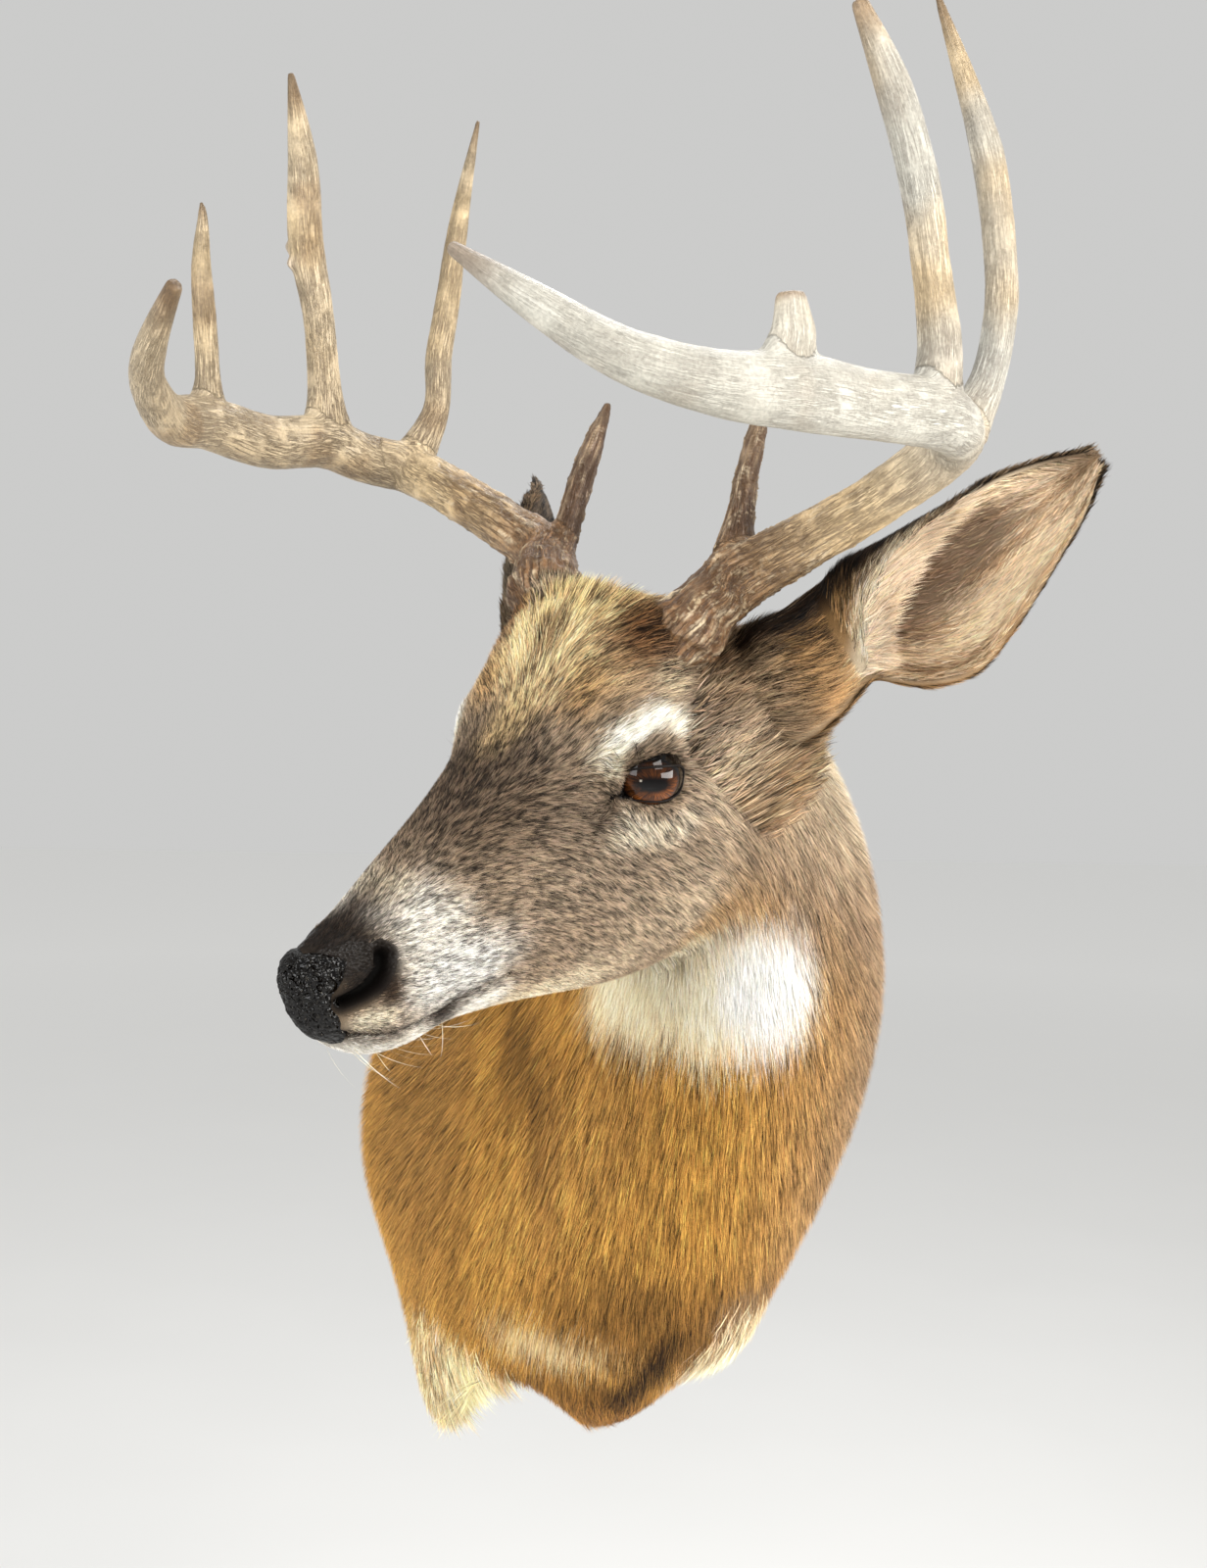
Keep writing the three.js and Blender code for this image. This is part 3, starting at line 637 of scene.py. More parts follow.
FACE_MARKS = [
    # at, reach, colour, strength
    ([0, -75, 22], [30, 60, 22], tint(88, 72, 58), 0.95),  # dark bridge
    ([24, -76, 4], [20, 46, 18], tint(98, 82, 66), 0.85),  # its sides
    ([46, -52, -6], [14, 22, 18], tint(118, 102, 86), 0.6),  # before the eye
    ([0, -156, -14], [24, 20, 14], tint(46, 34, 25), 1.0),  # dark hair above the nose
    ([0, -174, -20], [22, 10, 12], tint(34, 26, 20), 1.0),  # darkest at the pad's edge
    ([46, -50, -34], [22, 44, 18], tint(146, 128, 108), 0.7),  # cheek before the eye
    ([0, 2, 62], [44, 34, 34], tint(244, 206, 154), 1.0),  # tan forehead
    ([0, 36, 84], [46, 30, 26], tint(248, 210, 150), 0.95),  # crown
    ([0, -34, 40], [12, 26, 16], tint(208, 178, 130), 0.8),  # streak to the bridge
    ([0, 2, 68], [6, 20, 12], tint(92, 70, 44), 0.9),  # dark streaks
    ([17, 37, 80], [8, 14, 8], tint(104, 80, 50), 0.8),
    ([37, 24, 74], [8, 12, 8], tint(104, 76, 44), 0.8),
    ([42, 20, 64], [15, 20, 15], tint(120, 78, 42), 0.9),  # rusty by the burr
    ([54, 38, 52], [15, 16, 16], tint(88, 58, 34), 0.9),
    ([32, -12, 47], [10, 18, 12], tint(178, 136, 82), 0.6),  # golden brown over the brow
    ([57, 24, 41], [10, 11, 9], tint(206, 184, 152), 0.85),  # pale under the burr
    ([52, -24, 18], [9, 9, 9], tint(232, 220, 194), 0.95),  # white above the eye
    ([57, -13, 26], [11, 10, 7], tint(255, 250, 232), 1.0),
    ([60, 3, 28], [11, 12, 7], tint(255, 250, 232), 1.0),
    ([63, 17, 18], [9, 9, 9], tint(246, 236, 214), 1.0),
    ([60, -2, 16], [13, 14, 5], tint(148, 131, 113), 0.9),  # dusk over the lid
    ([56, -18, -21], [16, 15, 9], tint(204, 191, 170), 0.9),  # pale below the eye
    ([62, 6, -28], [14, 18, 9], tint(208, 192, 168), 0.85),  # pale behind it
    ([54, -27, -3], [8, 8, 4], tint(46, 35, 27), 0.95),  # tear line
    ([50, -36, -10], [7, 8, 6], tint(112, 96, 80), 0.7),
    ([64, 43, 4], [13, 13, 12], tint(92, 80, 70), 0.9),  # dark temple
    ([66, 50, -24], [14, 20, 26], tint(204, 183, 156), 0.8),  # behind the eye
    ([60, 66, 16], [20, 22, 20], tint(156, 130, 100), 0.8),  # before the ear
    ([58, 62, 44], [18, 18, 18], tint(84, 62, 40), 0.8),  # dark behind the burr
    ([48, 20, -74], [26, 50, 24], tint(184, 164, 138), 0.75),  # lower cheek
    ([25, -131, -30], [22, 20, 22], tint(212, 206, 194), 1.0),  # white of the muzzle
    ([32, -122, -53], [20, 30, 15], tint(206, 203, 196), 1.0),  # down to the lip
    ([12, -134, -4], [12, 9, 9], tint(190, 176, 152), 0.8),  # over the bridge
    ([24, -170, -56], [8, 11, 5], tint(206, 194, 170), 1.0),  # cream spot by the pad
    ([28, -160, -43], [8, 7, 9], tint(66, 50, 36), 1.0),  # dark patch by the nostril
    ([12, -170, -26], [20, 17, 14], tint(34, 27, 22), 1.0),  # dark between pad and nostril
    ([23, -166, -36], [9, 12, 9], tint(30, 24, 20), 1.0),  # round the nostril
    ([0, -178, -74], [30, 34, 12], tint(226, 220, 208), 1.0),  # chin
    ([18, -146, -78], [16, 16, 12], tint(222, 214, 200), 1.0),  # its side
    ([25, -128, -73], [9, 11, 8], tint(44, 36, 30), 1.0),  # dark patch on the lower lip
    ([24, -106, -80], [18, 15, 11], tint(232, 226, 214), 0.95),  # white behind it
    ([16, -66, -98], [36, 50, 15], tint(220, 200, 170), 0.95),  # under the jaw
]

GOLDEN = tint(206, 152, 74)
NECK_GREY = tint(156, 130, 102)

BODY_MARKS = [
    # at, reach, colour, strength
    ([66, -230, 240], [90, 120, 80], tint(226, 206, 178), 0.9),  # nape
    ([-135, -110, 60], [44, 140, 180], tint(166, 124, 68), 0.8),  # right side
    ([-70, -206, 60], [8, 30, 40], tint(110, 78, 40), 0.75),  # painted shade in the folds of the throat
    ([-58, -220, 36], [4, 30, 60], tint(104, 72, 36), 0.8),
    ([-48, -236, 6], [5, 24, 60], tint(118, 82, 42), 0.6),
    ([30, -250, -96], [80, 80, 40], tint(128, 90, 45), 0.8),  # lower chest
    ([30, -320, 116], [56, 44, 36], tint(255, 240, 208), 1.0),  # throat patch
    ([-8, -284, 106], [27, 34, 29], tint(255, 236, 200), 1.0),  # its left end
    ([66, -336, 120], [26, 30, 38], tint(234, 233, 229), 1.0),  # its white side
    ([-50, -206, -124], [46, 46, 11], tint(236, 208, 162), 0.9),  # pale band at the armpit
    ([-104, -60, -196], [38, 90, 44], tint(240, 206, 152), 1.0),  # right foreleg
    ([-122, -70, -190], [12, 90, 40], tint(176, 132, 80), 0.8),  # its brown edge
    ([74, -246, -88], [22, 26, 16], tint(156, 128, 96), 0.9),  # left foreleg
    ([78, -170, -146], [34, 70, 40], tint(228, 212, 186), 1.0),  # its white foot
    ([-14, -180, -170], [44, 60, 36], tint(130, 90, 42), 0.9),  # brisket
    ([26, -244, -110], [10, 26, 14], tint(34, 20, 10), 1.0),  # painted shade in the chest's crease
    ([17, -224, -134], [12, 28, 18], tint(24, 14, 7), 1.0),
    ([3, -200, -158], [12, 28, 15], tint(26, 15, 8), 1.0),
    ([30, -110, -190], [50, 70, 22], tint(96, 62, 32), 0.8),  # painted shade under the brisket
    ([-62, -150, -164], [14, 40, 12], tint(84, 54, 26), 0.8),  # shade by the armpit
]

PLAIN_TICKING = 0.16
BODY_TICKING = 0.22
TICKING = [
    # at in the head frame, reach, share of dark hairs
    ([0, -70, 10], [70, 70, 60], 0.44),
    ([0, 10, 66], [60, 50, 40], 0.46),
    ([50, 0, -30], [50, 60, 40], 0.32),
    ([46, 24, 60], [18, 22, 18], 0.6),
    ([28, -130, -36], [24, 34, 26], 0.3),
    ([18, -160, -74], [30, 40, 14], 0.06),
    ([58, 2, 28], [14, 24, 12], 0.1),
]


def patches(at, colour, marks, mirror, raggedness, crispness):
    """Paints soft-edged patches over a colour."""
    wander = np.stack([fractal(at, 16, seed) - 0.5 for seed in (1, 2, 3)], axis=-1)
    for centre, reach, paint, strength in marks:
        moved = at + wander * min(raggedness, 0.6 * min(reach))
        fall = 0.0
        for s in (1, -1) if mirror else (1,):
            d2 = (((moved - np.array([s, 1, 1]) * centre) / reach) ** 2).sum(-1)
            fall = np.maximum(fall, np.exp(-(d2**crispness) * 0.7))
        colour = mix(colour, paint, (fall * strength)[..., None])
    return colour


def ticking(q):
    """Share of the tufts that are dark, at head-frame points."""
    share = np.full(q.shape[:-1], PLAIN_TICKING)
    for centre, reach, amount in TICKING:
        d2 = (((mirrored(q)[0] - centre) / reach) ** 2).sum(-1)
        share = mix(share, amount, np.exp(-d2))
    return share


def markings(at):
    """Coat colour at points of the part's frame, with painted shadow along the lip line and painted shade in
    the throat's folds, in the chest's crease and under the brisket.
    """
    q = to_head(at)
    face = patches(q, np.broadcast_to(GREY_BROWN, at.shape), FACE_MARKS, True, 16, 1.7)
    # dark hair along the lip line: partly its own colour, partly painted shadow of the mouth's groove
    gap, _ = line_distance(q[..., 1:3], LIP_LINE)
    dark_lip_and_shadow = np.exp(-((gap / 3.6) ** 2)) * smooth(-92, -108, q[..., 1])
    face = mix(face, tint(56, 44, 36), (dark_lip_and_shadow * 0.85)[..., None])
    above = np.maximum(at[..., 2] - 110, 0) * 0.8 + np.maximum(at[..., 2] - 150, 0) * 0.7
    grey = smooth(30, 150, at[..., 0] * 0.9 + above + (at[..., 1] + 300) * 0.12)
    body = mix(GOLDEN, NECK_GREY, grey[..., None])
    band = fractal(at * [1, 1, 0.22], 26, 91, 3)
    body = body * mix(0.78, 1.22, band)[..., None]
    body = patches(at, body, BODY_MARKS, False, 22, 2.4)
    behind = smooth(30, 74, q[..., 1] - 0.25 * (q[..., 2] + 60))
    return mix(face, body, behind[..., None])


# ---------------------------------------------------------------------------
# Lie of the coat

EAR_ROOT = np.array([44.0, 88.0, 6.0])
EAR_TIP = {"left": np.array([191.0, 206.0, 105.0]), "right": np.array([-189.0, 206.0, 90.0])}
EAR_AXIS = unit(EAR_TIP["left"] - EAR_ROOT)


def near_ear(q):
    """1 round the root of the ear, for head-frame points folded to the left."""
    return np.exp(-((lengths(q - EAR_ROOT - 20 * EAR_AXIS)[..., 0] / 40) ** 4))


def lie(surface):
    """Unit direction of the hair at each point of the hide's grid."""
    at, normal, u = surface["skin"], surface["normal"], surface["u"]
    q, side = mirrored(to_head(at))
    x, y, z = q[..., 0], q[..., 1], q[..., 2]
    droop = (0.12 + 0.95 * smooth(-120, 10, y)) * (1 - smooth(-14, 22, z))
    spread = 0.55 * smooth(14, 50, z) * np.clip(x / 26, 0, 1) * (1 - smooth(30, 70, y) * 0.6)
    swirl = fractal(q, 26, 9) - 0.5
    direction = np.stack([spread + 0.15 * swirl, np.ones_like(x), 0.5 * swirl - droop], axis=-1)
    eye = q - (EYE_AT + EYE_GAZE * EYE_RADIUS * 0.6)
    near = np.exp(-((lengths(eye)[..., 0] / 24) ** 4))
    direction = direction + unit(eye) * (near * 1.3)[..., None]
    direction = direction + EAR_AXIS * (1.6 * near_ear(q))[..., None]
    head_way = unit(unfold(direction, side)) @ HEAD.T
    forward = np.gradient(surface["outline"], axis=0)
    wander = np.stack([fractal(at, 60, k) - 0.5 for k in (21, 22, 23)], axis=-1)
    body_way = unit(unit(forward) * 0.5 + np.array([0, 0, -0.85]) + wander * 0.35)
    share = smooth(10.4, 12.6, u)[..., None]
    way = mix(head_way, body_way, share)
    way = way - normal * dot(way, normal)[..., None]
    return unit(way)


# ---------------------------------------------------------------------------
# Tufts

TUFT_PATCH = 0.003  # size of a tuft's patch on the unwrap
UNWRAP_SIZE = 0.99  # the skin's unwrap leaves room for the patches at its edge
PIECE_LIMIT = 190000
LOWEST_TIP = -258  # no hair hangs lower


def pick(grid, cell, share):
    """Bilinear values of a grid at cells (row, column) and shares across them."""
    r, c = cell
    d = (c + 1) % grid.shape[1]
    s, t = share
    shape = (-1,) + (1,) * (grid.ndim - 2)
    s, t = s.reshape(shape), t.reshape(shape)
    top = mix(grid[r, c], grid[r, d], t)
    return mix(top, mix(grid[r + 1, c], grid[r + 1, d], t), s)


def scatter(points, density, count, closed=True):
    """Random cells of a grid, as likely as they are large and dense."""
    right = np.roll(points, -1, axis=1)[:-1] - points[:-1]
    down = points[1:] - points[:-1]
    area = lengths(np.cross(right, down))[..., 0] * density[:-1]
    if not closed:
        area[:, -1] = 0
    total = np.cumsum(area.ravel())
    chosen = np.searchsorted(total, rng.random(count) * total[-1])
    chosen = np.minimum(chosen, area.size - 1)
    cell = np.unravel_index(chosen, area.shape)
    return cell, (rng.random(count), rng.random(count))


def shape_tufts(root, normal, way, length, lift, width, bend, levels):
    """Blades of the given levels: points of shape (blades, 2 * levels - 1, 3)."""
    roll = rng.normal(0, 0.5, len(root))[:, None]
    across = unit(np.cross(normal, way))
    flat = across * np.cos(roll) + normal * np.sin(roll)
    points = []
    for k in range(levels):
        s = k / (levels - 1)
        centre = root + way * (length * s)[:, None] + normal * (lift * (1.6 * s - 0.6 * s * s) - 0.4)[:, None]
        centre = centre + across * (bend * s * s)[:, None]
        half = flat * (width * 0.5 * (1 - s**2.2) * (0.75 + 0.5 * min(s * 3, 1)))[:, None]
        points.extend([centre] if k == levels - 1 else [centre - half, centre + half])
    return np.stack(points, axis=1)


def tuft_faces(blades, levels):
    """Triangles of blades that narrow to a point."""
    faces = []
    for k in range(levels - 2):
        a = 2 * k
        faces += [[a, a + 1, a + 3], [a, a + 3, a + 2]]
    a = 2 * (levels - 2)
    faces.append([a, a + 1, a + 2])
    pattern = np.array(faces)
    start = np.arange(blades)[:, None, None] * (2 * levels - 1)
    return (start + pattern).reshape(-1, 3)


def grow(name, points, colours, uv, material, slot, levels):
    """Makes tufts into joined meshes, each below the limit of triangles."""
    per_blade = 2 * levels - 3
    share = PIECE_LIMIT // per_blade
    across = np.array([-0.5, 0.5] * (levels - 1) + [0.0])
    along = np.arange(2 * levels - 1) // 2 / (levels - 1)
    spread = np.stack([across, along], axis=-1) * TUFT_PATCH
    for part, start in enumerate(range(0, len(points), share)):
        chunk = slice(start, start + share)
        p, c, t = points[chunk], colours[chunk], uv[chunk]
        p[..., 1] = np.minimum(p[..., 1], -0.5)
        patch = (t[:, None, :] + spread).reshape(-1, 2)
        faces = tuft_faces(len(p), levels)
        obj = make_mesh(f"{name}_{part + 1}", p.reshape(-1, 3), faces, material, c.reshape(-1, 3), patch)
        piece(obj, slot)


def tuft_colours(base, dark_share, lock, calm, levels, contrast=0.5):
    """Colours of each tuft from root to tip: some tufts are dark, most are pale.

    lock is 1 on pale locks. calm is 1 where the tufts are nearly all alike.
    """
    count = len(base)
    dark = rng.random(count) < dark_share * mix(1.9, 0.1, lock)
    level = np.where(dark, rng.uniform(0.08, 0.3, count), rng.normal(1.55, 0.34, count))
    level = mix(level * mix(0.62, 1.2, lock), 1.45, calm)
    warm = 1 + rng.normal(0, 0.05, (count, 3)) * np.array([1, 0.3, -1])
    colour = base * level[:, None] * warm
    out = []
    for k in range(levels):
        s = k / (levels - 1)
        shade = mix(1 - contrast * (1 - 0.6 * calm), 1.0, smooth(0.0, 0.45, s))
        tip = np.where(rng.random(count) < 0.25, 0.6, 1.0) if k == levels - 1 else np.ones(count)
        out.extend([colour * (shade * tip)[:, None]] * (1 if k == levels - 1 else 2))
    return np.clip(np.stack(out, axis=1), 0.002, 0.95)


def locks(at, way, scale, reach):
    """Noise drawn out along the hair: from 0 on dark locks to 1 on pale ones."""
    total = 0.0
    for step in (-0.5, -0.3, -0.1, 0.1, 0.3, 0.5):
        total = total + noise(at + way * (step * reach)[:, None], scale, 37)
    return smooth(0.36, 0.64, total / 6)


def strayed(cell, shape, reach, closed):
    """Cells a little way off, so that colours meet hair by hair and not in a soft edge."""
    row, column = (c + np.rint(rng.normal(0, reach, len(c))).astype(int) for c in cell)
    column = column % shape[1] if closed else np.clip(column, 0, shape[1] - 2)
    return np.clip(row, 0, shape[0] - 2), column


def coat(
    name, field, density, count, length, width, lift, levels, material,
    slot="coat", closed=True, ruffle=0.16, strand=2.0, reach=1.4, waves=0.0,
):
    """Tufts over a field: a grid of points with normals, lie, colour and unwrap.

    strand is how wide the light and dark locks are, and reach how long, in hair lengths. waves is how
    deep the long light and dark waves are that run down the body.
    """
    cell, share = scatter(field["skin"], density, count, closed)
    root, normal = pick(field["skin"], cell, share), unit(pick(field["normal"], cell, share))
    smooth_way = unit(pick(field["lie"], cell, share))
    loose = pick(ruffle * np.ones_like(length), cell, share)[:, None]
    clump = np.stack([fractal(root, 7.0, k, 2) - 0.5 for k in (31, 32, 33)], axis=-1)
    way = smooth_way + clump * loose * 3 + rng.normal(0, 0.55, root.shape) * loose
    way = unit(way - normal * dot(way, normal)[:, None])
    size = pick(length, cell, share) * rng.uniform(0.7, 1.2, count)
    size = np.minimum(size, np.maximum(root[:, 2] - LOWEST_TIP, 4))
    rise = pick(lift, cell, share) * rng.uniform(0.45, 1.15, count)
    wide = pick(width, cell, share) * rng.uniform(0.7, 1.3, count)
    points = shape_tufts(root, normal, way, size, rise, wide, rng.normal(0, 0.08, count) * size, levels)
    stray = strayed(cell, field["skin"].shape, 1.2, closed)
    base = pick(field["colour"], stray, share)
    if waves:
        bent = root * [1, 1, 0.1] + 4 * (fractal(root, 24, 93, 2) - 0.5)[:, None]
        crest = smooth(0.36, 0.6, fractal(bent, 3.4, 92, 2))
        base = base * mix(1 - waves, 1 + 0.4 * waves, crest)[:, None]
    lock = locks(root, smooth_way, strand, reach * pick(length, cell, share))
    calm = pick(field.get("calm", 0 * length), cell, share)
    colours = tuft_colours(base, pick(field["ticking"], cell, share), lock, calm, levels)
    grow(name, points, colours, pick(field["unwrap"], cell, share), material, slot, levels)


def hide_field():
    """The hide with everything that its coat follows."""
    field = hide_surface()
    q = to_head(field["skin"])
    field["lie"] = lie(field)
    field["length"] = hair_length(field)
    field["colour"] = markings(field["outline"])
    field["shown"] = markings(field["outline"] + field["lie"] * (0.5 * field["length"])[..., None])
    pale = smooth(0.45, 0.7, field["shown"].mean(-1))
    field["ticking"] = mix(ticking(q), BODY_TICKING, smooth(11, 13, field["u"])) * mix(1.0, 0.3, pale)
    field["calm"] = 0.75 * pale * smooth(11, 12.5, field["u"])
    steps = lengths(np.diff(field["outline"], axis=0)).mean(axis=1)[:, 0]
    along = np.concatenate([[0], np.cumsum(steps)])
    down = np.repeat((along / along[-1])[:, None], HIDE_COLUMNS, axis=1)
    around = field["angle"] / (2 * np.pi)
    field["unwrap"] = np.stack([around, down], axis=-1) * UNWRAP_SIZE
    return field


def hide_colours(field):
    """Colour of the skin itself, black where it is bare, with painted shade in the nostril slit, and how damp
    it is.
    """
    q, _ = mirrored(to_head(field["skin"]))
    natural, _ = mirrored(to_head(field["outline"]))
    colour = field["colour"] * 0.55
    black = tint(18, 14, 12)
    measure = lid_measure(q)
    lids = 1 - smooth(1.02, 1.1, measure)
    colour = mix(colour, black, lids[..., None])
    yz = natural[..., 1:3]
    for line, width in ((LIP_LINE, 2.8), (NOSTRIL, 6.8), (TEAR_LINE, 2.2), (NOSE_SIDE, 7.5)):
        gap, _ = line_distance(yz, line)
        near = np.exp(-((gap / width) ** 4)) * (field["u"] < 11) * (natural[..., 0] > 6)
        colour = mix(colour, black, near[..., None])
    beside, _ = line_distance(yz, NOSE_SIDE)
    slit, _ = line_distance(yz, NOSTRIL)
    wing = np.exp(-((beside / 8) ** 4)) * smooth(2.5, 5.0, slit) * (field["u"] < 11) * (natural[..., 0] > 6)
    colour = mix(colour, tint(30, 24, 19), (wing * 0.8)[..., None])
    # painted shade: the nostril slit near-black, darker than the black skin round it
    hole = np.exp(-((slit / 3.2) ** 4)) * (field["u"] < 11) * (natural[..., 0] > 12)
    colour = mix(colour, tint(5, 4, 3), hole[..., None])
    return colour, np.maximum(wing, lids)


def back_ring(field):
    """Rows that turn the hide in behind, from the wall edge to the backboard."""
    edge = field["skin"][-1]
    angle = np.arctan2(edge[:, 2] - BOARD_CENTRE_Z, edge[:, 0])
    c, s = np.cos(angle), np.sin(angle)
    wide, tall = BOARD_HALF[0] + 0.5, BOARD_HALF[1] + 0.5
    n = BOARD_SQUARE
    reach = (np.abs(c / wide) ** n + np.abs(s / tall) ** n) ** (-1 / n)
    board = np.stack([reach * c, np.full_like(angle, -0.6), BOARD_CENTRE_Z + reach * s], axis=-1)
    return [mix(edge, board, share) for share in (0.3, 0.65, 1.0)]


def build_hide(field, material):
    """The skin from the tip of the nose to the backboard, one closed round surface."""
    tip = from_head([0, NOSE_TIP + 0.5, -37])
    nose_rows = [mix(tip, field["skin"][0], share) for share in (0.05, 0.5)]
    rows = np.concatenate([nose_rows, field["skin"], back_ring(field)])
    colour, wet = hide_colours(field)
    wet = np.concatenate([wet[:1]] * 2 + [wet] + [0 * wet[:1]] * 3)
    leather = np.broadcast_to(tint(150, 128, 100), colour[0].shape)
    colours = np.concatenate([[colour[0]] * 2, colour, [leather] * 3])
    unwrap = field["unwrap"]
    uv = np.concatenate([[unwrap[0]] * 2, unwrap, [unwrap[-1]] * 3])
    obj = make_mesh(
        "hide",
        rows.reshape(-1, 3),
        grid_faces(len(rows), HIDE_COLUMNS),
        material,
        colour=colours.reshape(-1, 3),
        uv=uv.reshape(-1, 2),
        layers={"Wet": wet.reshape(-1)},
    )
    return piece(obj, "coat", "head", "lower_jaw", "neck", "chest")


# ---------------------------------------------------------------------------
# Lid rims and eyes


def lid_rim():
    """Points of the left eye's rim, a rounded strip round the opening, in rows across the strip."""
    around, across = 160, 10
    a = np.linspace(0, 2 * np.pi, around, endpoint=False)
    reach = lid_reach(a)
    flat = (reach * np.cos(a))[:, None] * EYE_ALONG + (reach * np.sin(a))[:, None] * EYE_UP
    height = np.sqrt(np.maximum(EYE_RADIUS**2 - reach**2, 9))
    centre = EYE_AT + flat + EYE_GAZE * height[:, None]
    out = unit(centre - EYE_AT)
    away = unit(flat - out * dot(flat, out)[:, None])
    upper = smooth(-0.2, 0.5, np.sin(a))
    wide, tall = mix(0.6, 0.75, upper), mix(0.55, 0.65, upper)
    rings = []
    for b in np.linspace(0, 2 * np.pi, across, endpoint=False):
        aside, rise = 0.7 + np.cos(b) * wide, 0.35 + np.sin(b) * tall
        rings.append(centre + away * aside[:, None] + out * rise[:, None])
    return np.stack(rings, axis=1)


def build_rims(material):
    """The wet black edges of the lids of both eyes."""
    points = lid_rim()
    rows, columns, _ = points.shape
    count = rows * columns
    faces = grid_faces(rows + 1, columns) % count
    both = [from_head(unfold(points.reshape(-1, 3), np.full(count, side))) for side in (1, -1)]
    obj = make_mesh("lid_rims", np.concatenate(both), np.concatenate([faces, faces + count]), material)
    piece(obj, "coat")


# The iris, on the axis that it faces, and the pupil: half widths along the slit and across it.
IRIS_WAY = unit([0.80, -0.595, 0.0])
IRIS_HALF = (14.2, 11.0)
PUPIL_HALF = (8.6, 3.8)


def eye_material():
    """Glass over a brown iris with a long dark pupil, black beyond it, and the iris darkened towards its top
    by painted shade from the upper lid.
    """
    s = Shader("deer_eye")
    s.set(Roughness=0.3, Specular_IOR_Level=0.0, Coat_Weight=1.0, Coat_Roughness=0.01, Coat_IOR=1.32)
    place = s.attribute("EyePlace", "Vector")
    split = s.node("ShaderNodeSeparateXYZ")
    s.join(place, split.inputs[0])

    def oval(half):
        """Below 1 inside an ellipse on the eye's front."""
        scaled = [s.math("DIVIDE", split.outputs[axis], size) for axis, size in zip("XY", half)]
        return s.math("ADD", *[s.math("MULTIPLY", value, value) for value in scaled])

    fibres = s.noise(1.0, 4.0, s.attribute("EyeFibre", "Vector"), (1.0, 1.0, 1.0))
    iris = s.blend(s.ramp(fibres, 0, 1, 0.3, 0.75), tint(22, 9, 4), tint(112, 62, 24))
    shade = s.ramp(s.noise(0.12, 2.0, place, (1.0, 1.0, 1.0)), 0.25, 1.3, 0.35, 0.65)
    # painted shade from the upper lid: darkest over the top of the iris, a little lighter than plain towards
    # its bottom
    under = s.ramp(split.outputs["Y"], 1.15, 0.25, -3.0, 6.0)
    iris = s.times(s.times(iris, shade), under)
    pupil = s.ramp(oval(PUPIL_HALF), 0, 1, 0.5, 1.5)
    inner = s.blend(pupil, tint(4, 2, 2), iris)
    edge = s.ramp(oval(IRIS_HALF), 0, 1, 0.7, 1.0)
    s.colour(s.blend(edge, inner, tint(5, 4, 4)))
    return s.material


def build_eye(name, side, material):
    """The glass eye, a ball with a slight bulge over the iris."""
    rows, columns = 60, 72
    polar = np.linspace(0.004, np.pi - 0.004, rows)[:, None]
    around = np.linspace(0, 2 * np.pi, columns, endpoint=False)[None, :]
    across = unit(np.cross(EYE_UP, IRIS_WAY))
    up = np.cross(IRIS_WAY, across)
    x, y = np.sin(polar) * np.cos(around), np.sin(polar) * np.sin(around)
    bulge = EYE_RADIUS * (1 + 0.03 * np.exp(-((polar / 0.55) ** 4)))
    z = np.cos(polar) * np.ones_like(around)
    way = x[..., None] * across + y[..., None] * up + z[..., None] * IRIS_WAY
    place = np.stack([x * EYE_RADIUS, y * EYE_RADIUS, z * 4], axis=-1)
    place[z < 0] = [40, 40, 0]
    points = (EYE_AT + way * bulge[..., None]).reshape(-1, 3)
    world = from_head(unfold(points, np.full(len(points), side)))
    ones = np.ones_like(x)
    fibre = np.stack([np.cos(around) * 15 * ones, np.sin(around) * 15 * ones, polar * 4 * ones], axis=-1)
    layers = {"EyePlace": place.reshape(-1, 3), "EyeFibre": fibre.reshape(-1, 3)}
    obj = make_mesh(name + "_ball", world, grid_faces(rows, columns), material, layers=layers)
    piece(obj, "eye", name)


def black_skin():
    """Damp black skin of the lids' edges."""
    s = Shader("wet_black_skin")
    s.set(Roughness=0.45, Specular_IOR_Level=0.12)
    grain = s.noise(1500, 3.0)
    s.colour(s.blend(grain, tint(8, 6, 5), tint(26, 20, 17)))
    s.bump(grain, 0.0003, 0.6)
    return s.material


# ---------------------------------------------------------------------------
# Nose pad


def nose_material():
    """Black leather in wet pebbles, each with its own tilt."""
    s = Shader("wet_nose")
    s.set(Roughness=0.5, Specular_IOR_Level=0.0, Coat_Weight=0.36, Coat_Roughness=0.03, Coat_IOR=1.6)
    s.set(Coat_Tint=(1.0, 0.86, 0.64, 1))
    tops = s.ramp(s.pebbles(400), 1.0, 0.0, 0.3, 0.75)
    s.colour(s.blend(tops, tint(2, 1, 1), tint(9, 7, 5)))
    s.bump(s.math("MULTIPLY", tops, s.noise(330, 1.0)), 0.0017)
    s.join(s.surface.inputs["Normal"].links[0].from_socket, s.surface.inputs["Coat Normal"])
    return s.material


